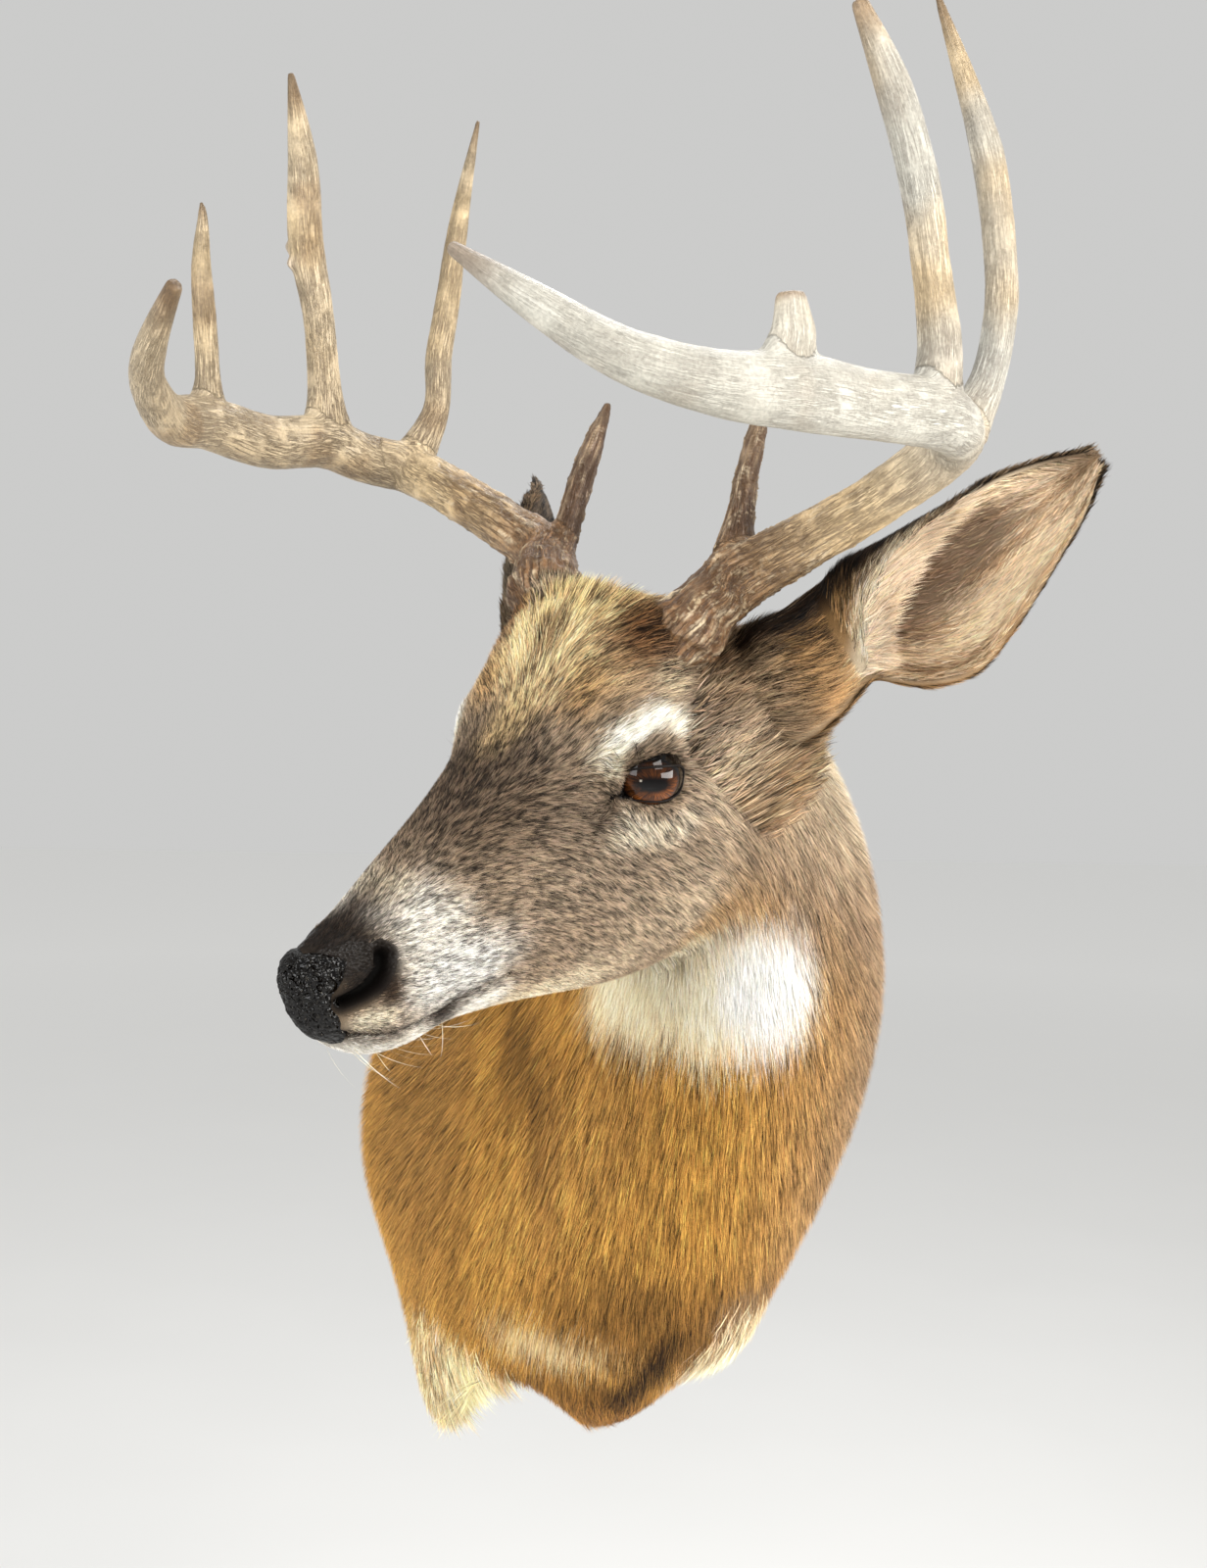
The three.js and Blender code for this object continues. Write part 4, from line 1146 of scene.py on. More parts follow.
def build_nose(material):
    """The pad, laid over the front of the muzzle with its rear edge under the hair."""
    rows, columns = 60, 200
    angle = np.linspace(0, 2 * np.pi, columns, endpoint=False)
    away = np.abs(np.degrees(np.mod(angle + np.pi, 2 * np.pi) - np.pi))
    end = np.interp(away, *PAD_EDGE) + 1.5
    stations = [row[0] for row in HEAD_SECTIONS]
    last = np.interp(end, stations, np.arange(len(stations)))
    share = np.linspace(0, 1, rows)
    u = share[:, None] * last[None, :]
    outline = flesh(u, np.repeat(angle[None, :], rows, axis=0))
    normal = grid_normals(outline, outline.mean(axis=(0, 1)))
    q = to_head(outline)
    inward = -pad_measure(q)
    edge = smooth(0.0, 4.0, inward)
    pebble = (fractal(q, 2.0, 41, 2) - 0.5) * smooth(2.0, 9.0, inward)
    groove = np.exp(-((q[..., 0] / 1.4) ** 2)) * smooth(-34, -42, q[..., 2])
    folded, _ = mirrored(q)
    gap, _ = line_distance(folded[..., 1:3], NOSTRIL)
    hole = np.exp(-((gap / 2.0) ** 4)) * (folded[..., 0] > 12)
    rise = 0.3 * edge - 1.2 * (1 - edge) + 2.2 * pebble - 1.2 * groove - 5 * hole
    points = outline + normal * rise[..., None]
    tip = from_head([0, NOSE_TIP - 1.0, -37])
    points = np.concatenate([[mix(tip, points[0], 0.05)], [mix(tip, points[0], 0.5)], points])
    obj = make_mesh("nose_leather", points.reshape(-1, 3), grid_faces(len(points), columns), material)
    piece(obj, "nose", "nose_pad")


# ---------------------------------------------------------------------------
# Ears

EAR_OPENS = {"left": np.array([0.69, -0.69, 0.24]), "right": np.array([-0.554, -0.703, 0.457])}
EAR_SECTIONS = [
    # share of the length, roll radius, half angle of the roll in degrees, thickness,
    # flattening, turn of the roll in degrees, offset of the roll across the ear
    [0.0, 22, 165, 6, 0.62, -65, 2],
    [0.06, 30, 165, 6, 0.62, -65, 2],
    [0.12, 33, 165, 5, 0.62, -65, 1],
    [0.2, 31, 165, 4, 0.64, -65, 1],
    [0.29, 28.5, 165, 4, 0.7, -62, -1],
    [0.34, 32, 146, 3.5, 0.75, -48, 2],
    [0.4, 38, 132, 3.5, 0.75, -33, 6],
    [0.5, 41, 113, 3, 0.7, -23, 11],
    [0.6, 38, 105, 3, 0.65, -16, 10],
    [0.7, 33, 96, 2.6, 0.62, -12, 7.5],
    [0.8, 27, 84, 2.4, 0.6, -4, 4.5],
    [0.9, 19, 76, 2.0, 0.6, 0, 2.7],
    [0.98, 9, 70, 1.6, 0.6, 0, 0.5],
]
EAR_SLIM = {"left": 1, "right": 0.7}  # share of the radius that the ear has at its base
EAR_ROWS = 72
EAR_ACROSS = 64
EAR_TRIM = 1.4  # the coat's depth on the back of the ear
LINING_UNWRAP = np.array([0, 0.5])  # where the lining lies on the ear's unwrap
LINING_LENGTH = {"left": 1.0, "right": 0.5}


def ear_surfaces(name, side):
    """The ear's outer and inner faces as grids, which way is out, its axis, and each point's place on it.

    share runs from the root to the tip, upper from the lower edge at -1 to the front edge at 1, and
    round from 0 at the upper outline over the front of the base to 1 at the lower outline.
    """
    flip = np.array([side, 1, 1])
    root, tip = from_head(EAR_ROOT * flip), from_head(EAR_TIP[name])
    axis = unit(tip - root)
    opens = unit(EAR_OPENS[name] @ HEAD.T)
    opens = unit(opens - axis * (opens @ axis))
    across = np.cross(axis, opens) * side
    u = np.linspace(0, len(EAR_SECTIONS) - 1, EAR_ROWS)
    share, radius, roll, thick, flat, twist, offset = through(EAR_SECTIONS, u).T[..., None]
    radius = radius * mix(EAR_SLIM[name], 1, np.clip((share - 0.2) / 0.5, 0, 1))
    place = np.linspace(-1, 1, EAR_ACROSS)[None, :]
    a = np.radians(roll * place + twist)
    spine = root + (tip - root) * share

    def face(r):
        rise = (radius - r * np.cos(a)) * flat
        return spine[:, None, :] + rise[..., None] * opens + (r * np.sin(a) + offset)[..., None] * across

    outer, inner = face(radius - EAR_TRIM), face(radius - EAR_TRIM - thick)
    outward = -np.cos(a)[..., None] * opens + np.sin(a)[..., None] * across
    ones = np.ones_like(a)
    spot = {"share": share * ones, "upper": -place * ones, "round": np.mod(-np.pi / 2 - a, 2 * np.pi) / np.pi}
    return outer, inner, outward, axis, spot


def open_normals(points, outward):
    """Normals of a grid that isn't closed, on the same side as outward."""
    normal = unit(np.cross(np.gradient(points, axis=1), np.gradient(points, axis=0)))
    return normal * np.where(dot(normal, outward) < 0, -1.0, 1.0)[..., None]


def along_surface(way, normal):
    """Directions laid flat on a surface."""
    return unit(way - normal * dot(way, normal)[..., None])


def ear_back_colour(spot):
    """Black along the upper outline and to the tip, golden below it, cream towards the front rim."""
    share, around, upper = spot["share"], spot["round"], spot["upper"]
    wander = around + 0.3 * (fractal(np.stack([around * 7, share * 3, 0 * share], -1), 1.0, 83) - 0.5)
    black, gold, tan = tint(46, 33, 23), tint(136, 104, 66), tint(184, 146, 102)
    colour = mix(black, gold, smooth(0.14, 0.38, wander)[..., None])
    colour = mix(colour, tan, smooth(0.36, 0.6, wander)[..., None])
    root = smooth(0.16, 0.06, share) * smooth(0.1, 0.3, wander)
    colour = mix(colour, tint(158, 134, 106), root[..., None])
    rim = smooth(0.74, 0.94, upper) * smooth(0.2, 0.32, share) * smooth(0.7, 0.5, share)
    colour = mix(colour, tint(250, 230, 198), rim[..., None])
    under = mix(tint(176, 150, 120), tint(124, 102, 78), smooth(0.2, 0.34, share)[..., None])
    colour = mix(colour, under, smooth(1.0, 1.3, around)[..., None])
    colour = mix(colour, black, (smooth(1.75, 2.0, around) * smooth(0.3, 0.5, share))[..., None])
    colour = mix(colour, black, (smooth(0.5, 0.8, share) * 0.8)[..., None])
    return mix(colour, tint(30, 22, 17), smooth(0.8, 0.97, share)[..., None])


def ear_lining_colour(spot):
    """Cream along the front edge, bare skin down the middle, streaked tan towards the lower edge."""
    share, upper = spot["share"], spot["upper"]
    streak = fractal(np.stack([upper * 9, share * 4, 0 * share], -1), 1.0, 81)
    cream, tan, bare = tint(210, 190, 162), tint(150, 122, 92), tint(104, 83, 66)
    lower = mix(cream, tan, (smooth(0.42, 0.62, streak) * 0.9)[..., None])
    dark = smooth(0.55, 0.72, streak) * smooth(-0.55, -0.85, upper) * 0.8
    lower = mix(lower, tint(92, 72, 52), dark[..., None])
    colour = mix(lower, bare, (ear_middle(spot) * 0.9)[..., None])
    front = smooth(0.36, 0.78, upper + 0.4 * (0.5 - share) + 0.5 * (streak - 0.5))
    colour = mix(colour, cream, front[..., None])
    colour = mix(colour, cream, smooth(0.32, 0.24, share)[..., None])
    tip = smooth(0.78, 0.95, share) * smooth(-0.9, 0.2, upper)
    return mix(colour, tint(96, 76, 56), (tip * 0.9)[..., None])


def ear_middle(spot):
    """1 on the nearly bare middle of the lining."""
    centre = -0.04 + 0.8 * (spot["share"] - 0.5)
    gap = (spot["upper"] - centre) / 0.33
    return np.exp(-(gap**4)) * smooth(0.3, 0.38, spot["share"]) * smooth(0.86, 0.7, spot["share"])


def ear_colours(name, spot):
    """Colours of the back and the lining, darkened to nearly plain grey-brown on the right ear as painted
    shade.
    """
    back, lining = ear_back_colour(spot), ear_lining_colour(spot)
    if name == "right":
        # painted shade over the far ear: its colours mostly given up to dark grey-brown
        return mix(back, tint(72, 60, 47), 0.9), mix(lining, tint(88, 74, 59), 0.9)
    return back, lining


def build_ear_skin(name, outer, inner, axis, unwrap, back, lining, material):
    """The ear's own skin, closed at its tip."""
    tip = np.broadcast_to(from_head(EAR_TIP[name]) - axis * 2, (1, 2 * EAR_ACROSS, 3))
    rings = np.concatenate([np.concatenate([outer, inner[:, ::-1]], axis=1), tip])
    colours = np.concatenate([back * 0.6, lining[:, ::-1] * 0.85], axis=1)
    colours = np.concatenate([colours, colours[-1:]]).reshape(-1, 3)
    uv = np.concatenate([unwrap, unwrap[:, ::-1] + LINING_UNWRAP], axis=1)
    uv = np.concatenate([uv, uv[-1:]]).reshape(-1, 2)
    faces = grid_faces(len(rings), rings.shape[1])
    obj = make_mesh(f"ear_{name}_skin", rings.reshape(-1, 3), faces, material, colours, uv)
    piece(obj, "coat", f"ear_{name}")


def build_ear_back(name, outer, outward, axis, spot, unwrap, colour, hair):
    """Short hair on the back, pale hair along the left ear's front rim and a dusky fringe at the tip."""
    share, upper = spot["share"], spot["upper"]
    flat = np.ones_like(share)
    normal = open_normals(outer, outward)
    droop = np.array([0, 0, -0.35]) * smooth(0.4, 0.1, share)[..., None]
    outside = {
        "skin": outer,
        "normal": normal,
        "lie": along_surface(unit(np.gradient(outer, axis=0)) + droop, normal),
        "colour": colour,
        "ticking": mix(0.5, 0.1, smooth(0.6, 0.9, upper) * smooth(0.8, 0.6, share)),
        "unwrap": unwrap,
    }
    length = mix(15.0, 7.0, smooth(0.15, 0.6, share)) * mix(1.0, 0.6, smooth(0.85, 1.0, share))
    coat(f"ear_{name}_back", outside, flat, 60000, length, 0.7 * flat, 1.7 * flat, 2, hair, closed=False)
    if name == "left":
        rim = smooth(0.86, 0.95, upper) * smooth(0.24, 0.32, share) * smooth(0.7, 0.5, share)
        paint = flat[..., None] * tint(204, 184, 160)
        pale = dict(outside, colour=paint, ticking=0.08 * flat, calm=0.5 * flat)
        pale["lie"] = unit(axis - 0.1 * unit(np.gradient(outer, axis=1)))
        sizes = (20 * flat, 0.55 * flat, 2.4 * flat, 3)
        coat(f"ear_{name}_rim", pale, rim, 5000, *sizes, hair, "pale_coat", False, 0.2)
    edge = smooth(0.86, 0.98, np.abs(upper)) * smooth(0.5, 0.75, share) * (upper > 0)
    fringe = edge + smooth(0.86, 0.97, share)
    dusky = dict(outside, colour=flat[..., None] * tint(92, 76, 58), ticking=0.4 * flat)
    sizes = (8 * flat, 0.5 * flat, 3 * flat, 3)
    coat(f"ear_{name}_fringe", dusky, fringe, 3500, *sizes, hair, "coat", False, 0.35)


def build_ear_lining(name, inner, outward, spot, unwrap, colour, hair):
    """Long pale hair over the edges of the ear's inner face, thin on its middle."""
    share, upper = spot["share"], spot["upper"]
    edge = np.abs(upper)
    flat = np.ones_like(share)
    normal = open_normals(inner, -outward)
    down = unit(np.gradient(inner, axis=1))
    sweep = unit(np.gradient(inner, axis=0)) + down * (0.45 * smooth(0.3, 0.9, edge))[..., None]
    inside = {
        "skin": inner,
        "normal": normal,
        "lie": along_surface(sweep, normal),
        "colour": colour,
        "ticking": 0.05 * flat,
        "calm": 0.55 * flat,
        "unwrap": unwrap + LINING_UNWRAP,
    }
    density = 1.2 - ear_middle(spot)
    curled = np.where((spot["round"] < 1) & (upper > 0), 0.5, 1.0)
    length = mix(15.0, mix(13.0, 26.0, smooth(-0.2, 0.4, upper)), smooth(0.4, 0.9, edge))
    length = length * mix(1.0, 0.4, smooth(0.65, 0.95, share)) * (1 - 0.4 * ear_middle(spot))
    length = length * LINING_LENGTH[name] * curled
    lift = (1.4 + 2.6 * smooth(0.5, 0.95, edge)) * mix(1.0, 0.5, smooth(0.7, 1.0, share)) * curled
    sizes = (length, 0.62 * flat, lift, 3)
    coat(f"ear_{name}_lining", inside, density, 30000, *sizes, hair, "pale_coat", False, 0.2)


def build_ear(name, side, hide, hair):
    """An ear: its skin, the short hair on its back and the long hair of its lining."""
    outer, inner, outward, axis, spot = ear_surfaces(name, side)
    back, lining = ear_colours(name, spot)
    unwrap = np.stack([spot["share"] * 0.95, (spot["upper"] * 0.5 + 0.5) * 0.45], axis=-1)
    build_ear_skin(name, outer, inner, axis, unwrap, back, lining, hide)
    build_ear_back(name, outer, outward, axis, spot, unwrap, back, hair)
    build_ear_lining(name, inner, outward, spot, unwrap, lining, hair)


# ---------------------------------------------------------------------------
# Antlers, as in the part's source: points in the head frame with height and thickness. The places of the
# points come from a least-squares calculation, rounded to whole millimetres and then changed in places; the
# heights and thicknesses were set one by one.

UP = np.array([0.0, 0, 1])
BACK = np.array([0.0, 1, 0])

ANTLERS = {
    "left": {
        "beam_lower": [
            [38, 34, 40, 28, 28],
            [45, 43, 50, 32, 31],
            [50, 50, 58, 39, 38],
            [55, 59, 66, 33, 32],
            [66, 74, 77, 31, 30],
            [102, 83, 94, 27, 26],
            [144, 92, 115, 25, 25],
            [174, 98, 134, 27, 25],
            [186, 90, 143, 26, 24],
        ],
        "beam_upper": [
            [180, 98, 139, 27, 25],
            [192, 78, 149, 28, 24],
            [196, 52, 160, 30, 24],
            [192, 12, 172, 29, 23],
            [186, -28, 186, 31, 23],
            [174, -60, 196, 26, 21],
            [151, -86, 213, 21, 18],
            [122, -98, 236, 16, 14],
            [87, -104, 261, 6, 6],
        ],
        "brow_tine": [
            [60, 76, 80, 26, 24],
            [57, 92, 102, 15, 14],
            [55, 103, 119, 12, 12],
            [54, 118, 138, 10, 10],
            [53, 132, 156, 3, 3],
        ],
        "second_tine": [
            [180, 100, 138, 26, 22],
            [180, 126, 156, 19, 16],
            [183, 141, 187, 17, 15],
            [179, 152, 224, 16, 15],
            [169, 163, 263, 15, 14],
            [149, 169, 325, 4, 4],
        ],
        "third_tine": [
            [196, 58, 164, 32, 20],
            [197, 64, 184, 22, 18],
            [195, 67, 219, 18, 16],
            [193, 67, 255, 18, 16],
            [185, 68, 291, 17, 15],
            [175, 64, 327, 8, 7],
        ],
        "fourth_tine": [
            [182, -30, 186, 40, 13],
            [184, -26, 198, 34, 14],
            [185, -22, 207, 25, 14],
            [184, -20, 214, 19, 13],
            [183, -18, 223, 13, 11],
        ],
    },
    "right": {
        "beam_lower": [
            [-36, 40, 50, 27, 27],
            [-42, 48, 63, 31, 30],
            [-47, 55, 74, 38, 37],
            [-53, 63, 80, 33, 32],
            [-64, 76, 86, 30, 30],
            [-102, 84, 101, 27, 26],
            [-144, 92, 116, 27, 26],
            [-174, 97, 125, 28, 25],
            [-186, 88, 134, 26, 24],
        ],
        "beam_upper": [
            [-180, 96, 128, 28, 25],
            [-193, 78, 138, 28, 24],
            [-196, 52, 153, 29, 24],
            [-191, 11, 162, 29, 23],
            [-186, -29, 181, 28, 22],
            [-174, -60, 190, 26, 21],
            [-151, -85, 212, 21, 18],
            [-123, -98, 232, 16, 14],
            [-88, -104, 258, 8, 8],
        ],
        "brow_tine": [
            [-60, 77, 84, 26, 24],
            [-57, 91, 98, 15, 14],
            [-55, 103, 118, 14, 13],
            [-54, 118, 136, 11, 11],
            [-53, 133, 154, 4, 4],
        ],
        "second_tine": [
            [-179, 100, 130, 26, 22],
            [-179, 126, 153, 16, 15],
            [-183, 140, 182, 16, 15],
            [-179, 151, 211, 15, 14],
            [-169, 162, 255, 11, 11],
            [-148, 169, 306, 3, 3],
        ],
        "third_tine": [
            [-196, 58, 158, 34, 22],
            [-197, 63, 180, 20, 18],
            [-195, 67, 217, 18, 16],
            [-193, 67, 257, 20, 18],
            [-185, 69, 300, 17, 15],
            [-175, 64, 344, 4, 4],
        ],
        "fourth_tine": [
            [-186, -29, 184, 32, 20],
            [-185, -24, 200, 15, 13],
            [-182, -20, 230, 13, 12],
            [-180, -16, 258, 11, 10],
            [-176, -12, 280, 6, 6],
            [-174, -12, 289, 3, 3],
        ],
    },
}
LIMB_AROUND = 20
LIMB_STEP = 6
ANTLER_GRAIN = 1.25  # voxel size of the joined antler
TINE_HANDICAP = 4  # where a tine meets a beam, the beam's markings win
BATCH = 20000  # points that are measured at a time
ANTLER_KNOBS = {
    # at, reach, height
    "left": [(np.array([50.0, 22, 57]), 3.6, 4.0)],
    "right": [(np.array([-203.0, 66, 257]), 4.5, 6.0), (np.array([-196.0, 58, 249]), 3.5, 3.0)],
}


def limb_frames(key, rows):
    """Centres, directions, cross axes and half sizes along a limb."""
    points = np.array(rows, float)
    facing = UP if key.startswith("beam") else BACK
    u = np.linspace(0, len(points) - 1, (len(points) - 1) * LIMB_STEP + 1)
    curve = through(points, u)
    centre = curve[:, :3]
    along = unit(np.gradient(centre, axis=0))
    tall = unit(facing - along * (along @ facing)[:, None])
    return centre, along, tall, np.cross(along, tall), curve[:, 3] / 2, curve[:, 4] / 2


def limb_mesh(key, rows):
    """A closed tube along a limb: its points, its quads and the polygons of its ends."""
    centre, _, tall_way, thick_way, tall, thick = limb_frames(key, rows)
    a = np.linspace(0, 2 * np.pi, LIMB_AROUND, endpoint=False)
    rise = (tall[:, None] * np.cos(a))[..., None] * tall_way[:, None]
    aside = (thick[:, None] * np.sin(a))[..., None] * thick_way[:, None]
    rings = centre[:, None] + (rise + aside)
    caps = [centre[end] + (rings[end] - centre[end]) * 0.05 for end in (0, -1)]
    rings = np.concatenate([[caps[0]], rings, [caps[1]]])
    ends = [np.arange(LIMB_AROUND), (len(rings) - 1) * LIMB_AROUND + np.arange(LIMB_AROUND)[::-1]]
    return rings.reshape(-1, 3), grid_faces(len(rings), LIMB_AROUND), ends


def joined_antler(name, limbs):
    """One closed surface over all the limbs of an antler: its points, normals and quads."""
    mesh = bpy.data.meshes.new(name)
    points, polygons, start = [], [], 0
    for key, rows in limbs.items():
        p, faces, ends = limb_mesh(key, rows)
        points.append(p)
        polygons += (faces + start).tolist() + [(e + start).tolist() for e in ends]
        start += len(p)
    mesh.from_pydata((np.concatenate(points) * MM).tolist(), [], polygons)
    obj = bpy.data.objects.new(name, mesh)
    SCENE.collection.objects.link(obj)
    remesh = obj.modifiers.new("joined", "REMESH")
    remesh.mode = "VOXEL"
    remesh.voxel_size = ANTLER_GRAIN * MM * 1
    soften = obj.modifiers.new("soften", "SMOOTH")
    soften.factor = 0.6
    soften.iterations = 11
    done = obj.evaluated_get(bpy.context.evaluated_depsgraph_get()).to_mesh()
    count = len(done.vertices)
    co = np.empty(count * 3, np.float32)
    done.vertices.foreach_get("co", co)
    normals = np.empty(count * 3, np.float32)
    done.vertices.foreach_get("normal", normals)
    quads = np.empty(len(done.polygons) * 4, np.int32)
    done.polygons.foreach_get("vertices", quads)
    bpy.data.objects.remove(obj)
    return co.reshape(-1, 3) / MM, normals.reshape(-1, 3), quads.reshape(-1, 4)


def limb_coordinates(at, limbs):
    """For each point: its limb, how far along it is, its length, and the angle round it."""
    best = np.full(len(at), 1e9)
    limb_index = np.zeros(len(at), int)
    along = np.zeros(len(at))
    angle = np.zeros(len(at))
    size = np.zeros(len(at))
    for index, (key, rows) in enumerate(limbs.items()):
        centre, way, tall_way, thick_way, tall, thick = limb_frames(key, rows)
        handicap = 0 if key.startswith("beam") else TINE_HANDICAP
        run = np.concatenate([[0], np.cumsum(lengths(np.diff(centre, axis=0))[:, 0])])
        for start in range(0, len(at), BATCH):
            p = at[start : start + BATCH]
            gap = np.linalg.norm(p[:, None] - centre[None], axis=-1)
            near = gap.argmin(1)
            score = gap[np.arange(len(p)), near] - (tall + thick)[near] / 2 + handicap
            offset = p - centre[near]
            here = slice(start, start + len(p))
            win = score < best[here]
            best[here] = np.where(win, score, best[here])
            limb_index[here] = np.where(win, index, limb_index[here])
            step = dot(offset, way[near])
            along[here] = np.where(win, run[near] + step, along[here])
            turned = np.arctan2(dot(offset, thick_way[near]), dot(offset, tall_way[near]))
            angle[here] = np.where(win, turned, angle[here])
            size[here] = np.where(win, run[-1], size[here])
    return limb_index, along, size, angle


def antler_places(at, limbs):
    """What the marks of an antler depend on, for each point."""
    limb, along, size, angle = limb_coordinates(at, limbs)
    keys = list(limbs)
    place = {key: limb == keys.index(key) for key in ("beam_lower", "beam_upper", "brow_tine", "fourth_tine")}
    low, brow = place["beam_lower"], place["brow_tine"]
    start = np.where(low, along, np.where(brow, 60 + along, 190.0 + along))  # about how far from the head
    grain = np.stack([np.cos(angle) * 4, np.sin(angle) * 4, along / 16 + limb * 7], axis=-1)
    broken = smooth(0.42, 0.56, fractal(at, 9.0, 67, 2))
    vein = smooth(0.06, 0.015, np.abs(fractal(grain, 1.5, 65, 3) - 0.5)) * broken
    place.update(
        along=along,
        start=start,
        tipward=np.clip(along / size, 0, 1),
        rough=1 - smooth(60, 240, start),
        grain=grain,
        streak=fractal(grain, 1.0, 51, 3),
        pearl=smooth(0.56, 0.72, fractal(at, 4.2, 61, 2)),
        vein=vein * (1 - smooth(90, 200, start)),
    )
    return place


def antler_knobs(at, side):
    """Height of the single knobs."""
    height = np.zeros(len(at))
    for centre, reach, top in ANTLER_KNOBS[side]:
        height = np.maximum(height, np.exp(-((lengths(at - centre)[:, 0] / reach) ** 2)) * top)
    return height


def antler_push(at, place):
    """Height of the streaks, pearls, veins and burr."""
    rough, low = place["rough"], place["beam_lower"]
    burr = np.exp(-(((place["along"] - 26) / 8) ** 2)) * low
    fade = 1 - smooth(0.6, 1.0, place["tipward"]) * (~low)
    push = (place["streak"] - 0.5) * (1.2 + 1.6 * rough) * fade
    push += place["pearl"] * 0.6 * rough + 0.7 * place["vein"]
    return push + burr * (fractal(at, 5.5, 63, 2) - 0.35) * 8


def antler_colour(at, place, knob, left):
    """Brown at the base, then cream, then white, with darker tines, streaks and stains."""
    start, along, streak, rough = place["start"], place["along"], place["streak"], place["rough"]
    low, high, brow, vein = place["beam_lower"], place["beam_upper"], place["brow_tine"], place["vein"]
    white = tint(184, 181, 170) if left else tint(196, 178, 148)
    tan = tint(204, 176, 130) if left else tint(200, 176, 136)
    blotch = smooth(0.3, 0.7, fractal(at, 34, 71, 2)) * smooth(16, 46, along) * ~(low | high | brow)
    stain = smooth(0.5, 0.7, fractal(at, 30, 73)) * (0.12 if left else 0.4)
    brow_colour = mix(tint(98, 72, 50), tint(160, 136, 108), smooth(0.5, 0.66, streak)[:, None])
    colour = mix(tint(128, 94, 62), tint(210, 184, 142), smooth(50, 150, start)[:, None])
    for paint, share in (
        (white, smooth(130, 230, start)),
        (tan, blotch * 0.75),
        (brow_colour, brow * smooth(8, 20, along)),
        (tint(74, 52, 34), smooth(0.46, 0.3, streak) * mix(0.1, 0.7, rough)),
        (tint(150, 116, 74), stain),
        (tint(212, 192, 160), np.maximum(vein * 0.85, place["pearl"] * rough * 0.12)),
        (tint(118, 88, 58), smooth(0.86, 0.98, place["tipward"]) * 0.6 * ~low),
        (tint(206, 190, 172), np.minimum(knob / 3, 1) * 0.7),
    ):
        colour = mix(colour, paint, share[:, None])
    return np.clip(colour, 0, 1)


def antler_wear(place, left):
    """How strongly the fine cracks show."""
    wear = mix(0.5 if left else 0.75, 1.0, place["rough"]) * mix(1.0, 0.7, place["tipward"])
    if not left:
        return wear
    far_beam = smooth(200, 300, place["start"]) * place["beam_upper"]
    return wear * mix(1.0, 0.7, far_beam + place["fourth_tine"])


def build_antler(name, side, limbs, material):
    """An antler as one closed surface with its streaks, pearls, knobs and stains."""
    at, normal, faces = joined_antler(name, limbs)
    place = antler_places(at, limbs)
    knob = antler_knobs(at, side)
    at = at + normal * (antler_push(at, place) + knob)[:, None]
    left = side == "left"
    ridge = smooth(0.5, 0.62, fractal(place["grain"] * [1, 1, 0.6], 1.2, 69, 2))
    crust = place["rough"] * (0.25 + 0.75 * ridge) * smooth(150, 60, place["start"]) * (~place["brow_tine"])
    layers = {"Grain": place["grain"], "Wear": antler_wear(place, left), "Crust": crust}
    colour = antler_colour(at, place, knob, left)
    obj = make_mesh(name, from_head(at), faces, material, colour=colour, layers=layers)
    piece(obj, "antler", *[f"antler_{side}_{key}" for key in limbs])


def antler_material():
    """Bone with fine dark cracks along the limb, more of them where it is worn."""
    s = Shader("antler_bone")
    s.set(Roughness=0.36, Specular_IOR_Level=0.4)
    grain = s.attribute("Grain", "Vector")
    wide = s.ramp(s.away_from(s.noise(1.3, 5.0, grain, (1.0, 1.0, 0.5)), 0.47), 1, 0, 0.0, 0.08)
    thin = s.ramp(s.away_from(s.noise(3.4, 4.0, grain, (1.0, 1.0, 0.4)), 0.5), 1, 0, 0.0, 0.09)
    patch = s.ramp(s.noise(60, 3.0), 0, 1, 0.4, 0.56)
    other = s.ramp(s.noise(34, 4.0), 0, 1, 0.36, 0.5)
    both = s.math("MAXIMUM", s.math("MULTIPLY", wide, other), s.math("MULTIPLY", thin, patch))
    crack = s.math("MULTIPLY", both, s.attribute("Wear", "Fac"))
    fine = s.noise(700, 5.0)
    crust = s.math("MULTIPLY", s.ramp(s.noise(330, 4.0), 0, 1, 0.5, 0.62), s.attribute("Crust", "Fac"))
    bone = s.times(s.attribute("Col", "Color"), s.ramp(fine, 0.8, 1.14, 0.3, 0.7))
    bone = s.blend(crust, bone, tint(190, 166, 132))
    s.colour(s.blend(s.ramp(crack, 0, 0.95), bone, tint(66, 44, 26)))
    height = s.math("SUBTRACT", s.ramp(fine, 0, 0.3), crack)
    s.bump(s.math("ADD", height, crust), 0.0012, 0.8)
    return s.material


# ---------------------------------------------------------------------------
# Backboard


def board_material():
    """Plywood with its grain upright."""
    s = Shader("plywood_board")
    s.set(Roughness=0.6)
    grain = s.noise(30, 4.0, stretch=(8.0, 8.0, 0.7))
    s.colour(s.blend(grain, tint(150, 112, 70), tint(205, 168, 116)))
    s.bump(grain, 0.0004, 0.5)
    return s.material


def dress_board(material):
    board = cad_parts["backboard"]
    board.data.materials.clear()
    board.data.materials.append(material)
